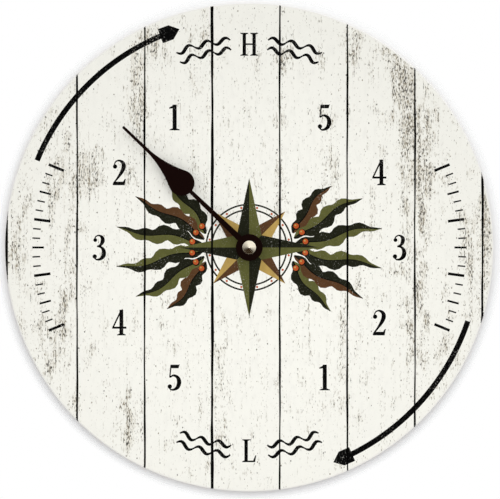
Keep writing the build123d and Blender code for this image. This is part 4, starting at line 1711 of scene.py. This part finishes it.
@dataclass
class Studio:
    """Camera, sky, lamps, backdrop, floor and dark flag, in metres."""

    SHADE: ClassVar[str] = "shade"
    lens: float = 200.0
    sensor: float = 36.0
    far_clip: float = 50.0
    view_width: float = 0.2731
    shift_right: float = 0.00044
    shift_up: float = -0.0011
    card_gap: float = 0.0025
    card_inner: float = 0.124
    card_solid: float = 0.1335
    card_outer: float = 0.14
    card_sides: int = 180
    card_top: Colour = tone(246, 248, 250)
    # Colour at the card's bottom: painted shade, darker than its top.
    card_bottom_painted_shade: Colour = tone(218, 220, 223)
    stage_roughness: float = 0.9
    floor_colour: Colour = tone(240, 240, 240)
    floor_drop: float = 0.07
    floor_solid: float = 0.3
    floor_outer: float = 0.7
    sky_top: float = 0.97
    sky_bottom: float = 0.08
    sky_slope: tuple[float, float, float] = (0.42, 0.0, 0.907)
    dusk: tuple[float, float] = (-0.85, 0.15)
    flag_radius: float = 0.5
    flag_turns: tuple[Point, ...] = (
        (-170.0, 0.0), (-135.0, 0.35), (-95.0, 0.7), (-65.0, 0.95), (-40.0, 1.0), (0.0, 1.0), (35.0, 1.0),
        (65.0, 0.6), (100.0, 0.0),
    )
    flag_rows: tuple[Point, ...] = ((0.06, 0.8), (-0.1, 1.0), (-0.3, 1.0), (-0.75, 1.0))
    painted_reflection_colour: Colour = tone(48, 35, 20)
    lamps: tuple[Lamp, ...] = (
        Lamp("key_lamp", (0.3, -1.9, 0.75), 1.5, 6.4),
        Lamp("fill_lamp", (-1.2, -1.3, 0.35), 1.0, 2.5),
        Lamp("back_lamp", (0.9, 1.4, 0.9), 0.9, 9.0),
        Lamp("low_back_lamp", (-1.1, 1.2, 0.2), 0.9, 5.0),
    )

    def set_up(self) -> None:
        """Sets the stage, the lamps and the camera."""
        low, high = CAD_BOX
        board_low, board_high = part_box(Dial.NODE)
        self.sky()
        self.backdrop(board_high.y + self.card_gap)
        self.floor(low.z - self.floor_drop)
        self.flag()
        for lamp in self.lamps:
            lamp.light(Vector((0.0, board_low.y, 0.0)))
        self.camera(board_low.y)

    def camera(self, face: float) -> None:
        """Puts the camera straight in front of the dial.

        Args:
            face: Place of the dial's face along y.
        """
        data = bpy.data.cameras.new("camera")
        data.lens = self.lens
        data.sensor_width = self.sensor
        data.clip_end = self.far_clip
        camera = bpy.data.objects.new("camera", data)
        distance = self.view_width * self.lens / self.sensor
        camera.location = (self.shift_right, face - distance, self.shift_up)
        camera.rotation_euler = (math.pi / 2, 0.0, 0.0)
        bpy.context.scene.collection.objects.link(camera)
        bpy.context.scene.camera = camera

    def sky(self) -> None:
        """Lights the room evenly, dimmer below, and shows white behind the clock."""
        world = bpy.data.worlds.new("studio_sky")
        world.use_nodes = True
        bpy.context.scene.world = world
        tree = world.node_tree
        background = tree.nodes["Background"]
        background.inputs["Color"].default_value = (1.0, 1.0, 1.0, 1.0)
        place = tree.nodes.new("ShaderNodeTexCoord")
        slope = tree.nodes.new("ShaderNodeVectorMath")
        slope.operation = "DOT_PRODUCT"
        slope.inputs[1].default_value = self.sky_slope
        tree.links.new(place.outputs["Generated"], slope.inputs[0])
        height = tree.nodes.new("ShaderNodeMapRange")
        for socket, value in zip(height.inputs[1:], (*self.dusk, self.sky_bottom, self.sky_top)):
            socket.default_value = value
        tree.links.new(slope.outputs["Value"], height.inputs[0])
        path = tree.nodes.new("ShaderNodeLightPath")
        level = height.outputs[0]
        for ray in ("Is Camera Ray", "Is Glossy Ray", "Is Transmission Ray"):
            most = tree.nodes.new("ShaderNodeMath")
            most.operation = "MAXIMUM"
            tree.links.new(level, most.inputs[0])
            tree.links.new(path.outputs[ray], most.inputs[1])
            level = most.outputs[0]
        tree.links.new(level, background.inputs["Strength"])

    def stage_finish(self, name: str, colour: Colour) -> NodeBench:
        """Builds the pale matt finish of the stage.

        Args:
            name: Name of the material.
            colour: Colour of the surface.

        Returns:
            The material's bench, to add to.
        """
        bench = NodeBench(name)
        bench.shader.inputs["Base Color"].default_value = colour
        bench.shader.inputs["Roughness"].default_value = self.stage_roughness
        return bench

    def fade(self, bench: NodeBench, axes: tuple[str, str], solid: float,
             outer: float) -> bpy.types.NodeSocket:
        """Gives a round fade about the shaft's axis or the point below it.

        Args:
            bench: Material to build on.
            axes: Axes that the surface lies along.
            solid: Radius that is still solid.
            outer: Radius where nothing is left.

        Returns:
            One inside, falling to zero.
        """
        return bench.span(bench.reach(*axes), (outer / MM) ** 2, (solid / MM) ** 2)

    def backdrop(self, depth: float) -> None:
        """Sets a white card close behind the board, which takes its soft shadow, has painted shade towards
        its bottom and fades outwards.

        Args:
            depth: Place of the card along y.
        """
        work = bmesh.new()
        sides = self.card_sides
        rings = [[work.verts.new((x, depth, z)) for x, z in circle((0.0, 0.0), radius, sides)]
                 for radius in (self.card_inner, self.card_outer)]
        for side in range(sides):
            after = (side + 1) % sides
            work.faces.new((rings[0][side], rings[1][side], rings[1][after], rings[0][after]))
        card = new_piece("backdrop_card", work)
        bench = self.stage_finish("card_white", self.card_top)
        # Painted shade: the card's colour darkens from top to bottom, so the shadow below the board reads
        # darker.
        reach = self.card_solid / MM
        ground = bench.blend(bench.span(bench.axis("z"), -reach, reach), self.card_bottom_painted_shade, self.card_top)
        bench.feed(bench.shader.inputs["Base Color"], ground)
        shape = bench.add("ShaderNodeNewGeometry")
        path = bench.add("ShaderNodeLightPath")
        fade = self.fade(bench, ("x", "z"), self.card_solid, self.card_outer)
        facing = bench.calc(Calc.TAKE, path.outputs["Is Camera Ray"], shape.outputs["Backfacing"])
        shown = bench.calc(Calc.TIMES, fade, bench.calc(Calc.MOST, facing, 0.0))
        bench.feed(bench.shader.inputs["Alpha"], shown)
        card.data.materials.append(bench.material)

    def floor(self, level: float) -> None:
        """Lays a pale floor that fades into the white room.

        Args:
            level: Height of the floor.
        """
        work = bmesh.new()
        half = self.floor_outer
        corners = ((-half, -half), (half, -half), (half, half), (-half, half))
        work.faces.new([work.verts.new((x, y, level)) for x, y in corners])
        floor = new_piece("studio_floor", work)
        bench = self.stage_finish("floor_white", self.floor_colour)
        alpha = self.fade(bench, ("x", "y"), self.floor_solid, self.floor_outer)
        bench.feed(bench.shader.inputs["Alpha"], alpha)
        floor.data.materials.append(bench.material)
        floor.visible_glossy = False

    def flag(self) -> None:
        """Curves a dark flag round below the clock, a painted reflection that glows dark brown, seen only in
        bright metal and fading at its sides.
        """
        work = bmesh.new()
        shade = work.verts.layers.float.new(self.SHADE)
        rows = []
        for place, strength in self.flag_rows:
            row = []
            for turn, share in self.flag_turns:
                x, z = polar(self.flag_radius, turn)
                vertex = work.verts.new((x, place, -z))
                vertex[shade] = strength * share
                row.append(vertex)
            rows.append(row)
        for row, following in zip(rows, rows[1:]):
            for corners in zip(row, row[1:], following[1:], following):
                work.faces.new(corners)
        flag = new_piece("dark_flag", work)
        bench = NodeBench("painted_reflection_brown")
        bench.shader.inputs["Base Color"].default_value = (0.0, 0.0, 0.0, 1.0)
        bench.shader.inputs["Specular IOR Level"].default_value = 0.0
        # Painted reflection: the flag glows its dark brown to darken what bright metal reflects from below.
        bench.shader.inputs["Emission Color"].default_value = self.painted_reflection_colour
        bench.shader.inputs["Emission Strength"].default_value = 1.0
        bench.feed(bench.shader.inputs["Alpha"], bench.reading(self.SHADE))
        flag.data.materials.append(bench.material)
        flag.visible_camera = False
        flag.visible_diffuse = False
        flag.visible_shadow = False
        flag.visible_transmission = False


def report(group: str, pieces: Iterable[bpy.types.Object]) -> None:
    """Logs the pieces of a sub-assembly as they are finished."""
    for piece in pieces:
        LOG.info("%s: %s, %d faces", group, piece.name, len(piece.data.polygons))


def main() -> None:
    """Builds the clock's looks in order and reports each piece."""
    logging.basicConfig(level=logging.INFO, format="%(name)s %(message)s")
    bpy.context.scene.view_settings.view_transform = "Standard"
    Studio().set_up()
    for kind in (Dial, HandSet, MovementShell, SettingGear, GearTrain, StepMotor, Circuit, BatteryBay):
        report(kind.TITLE, kind().build())


if __name__ == "__main__":
    main()
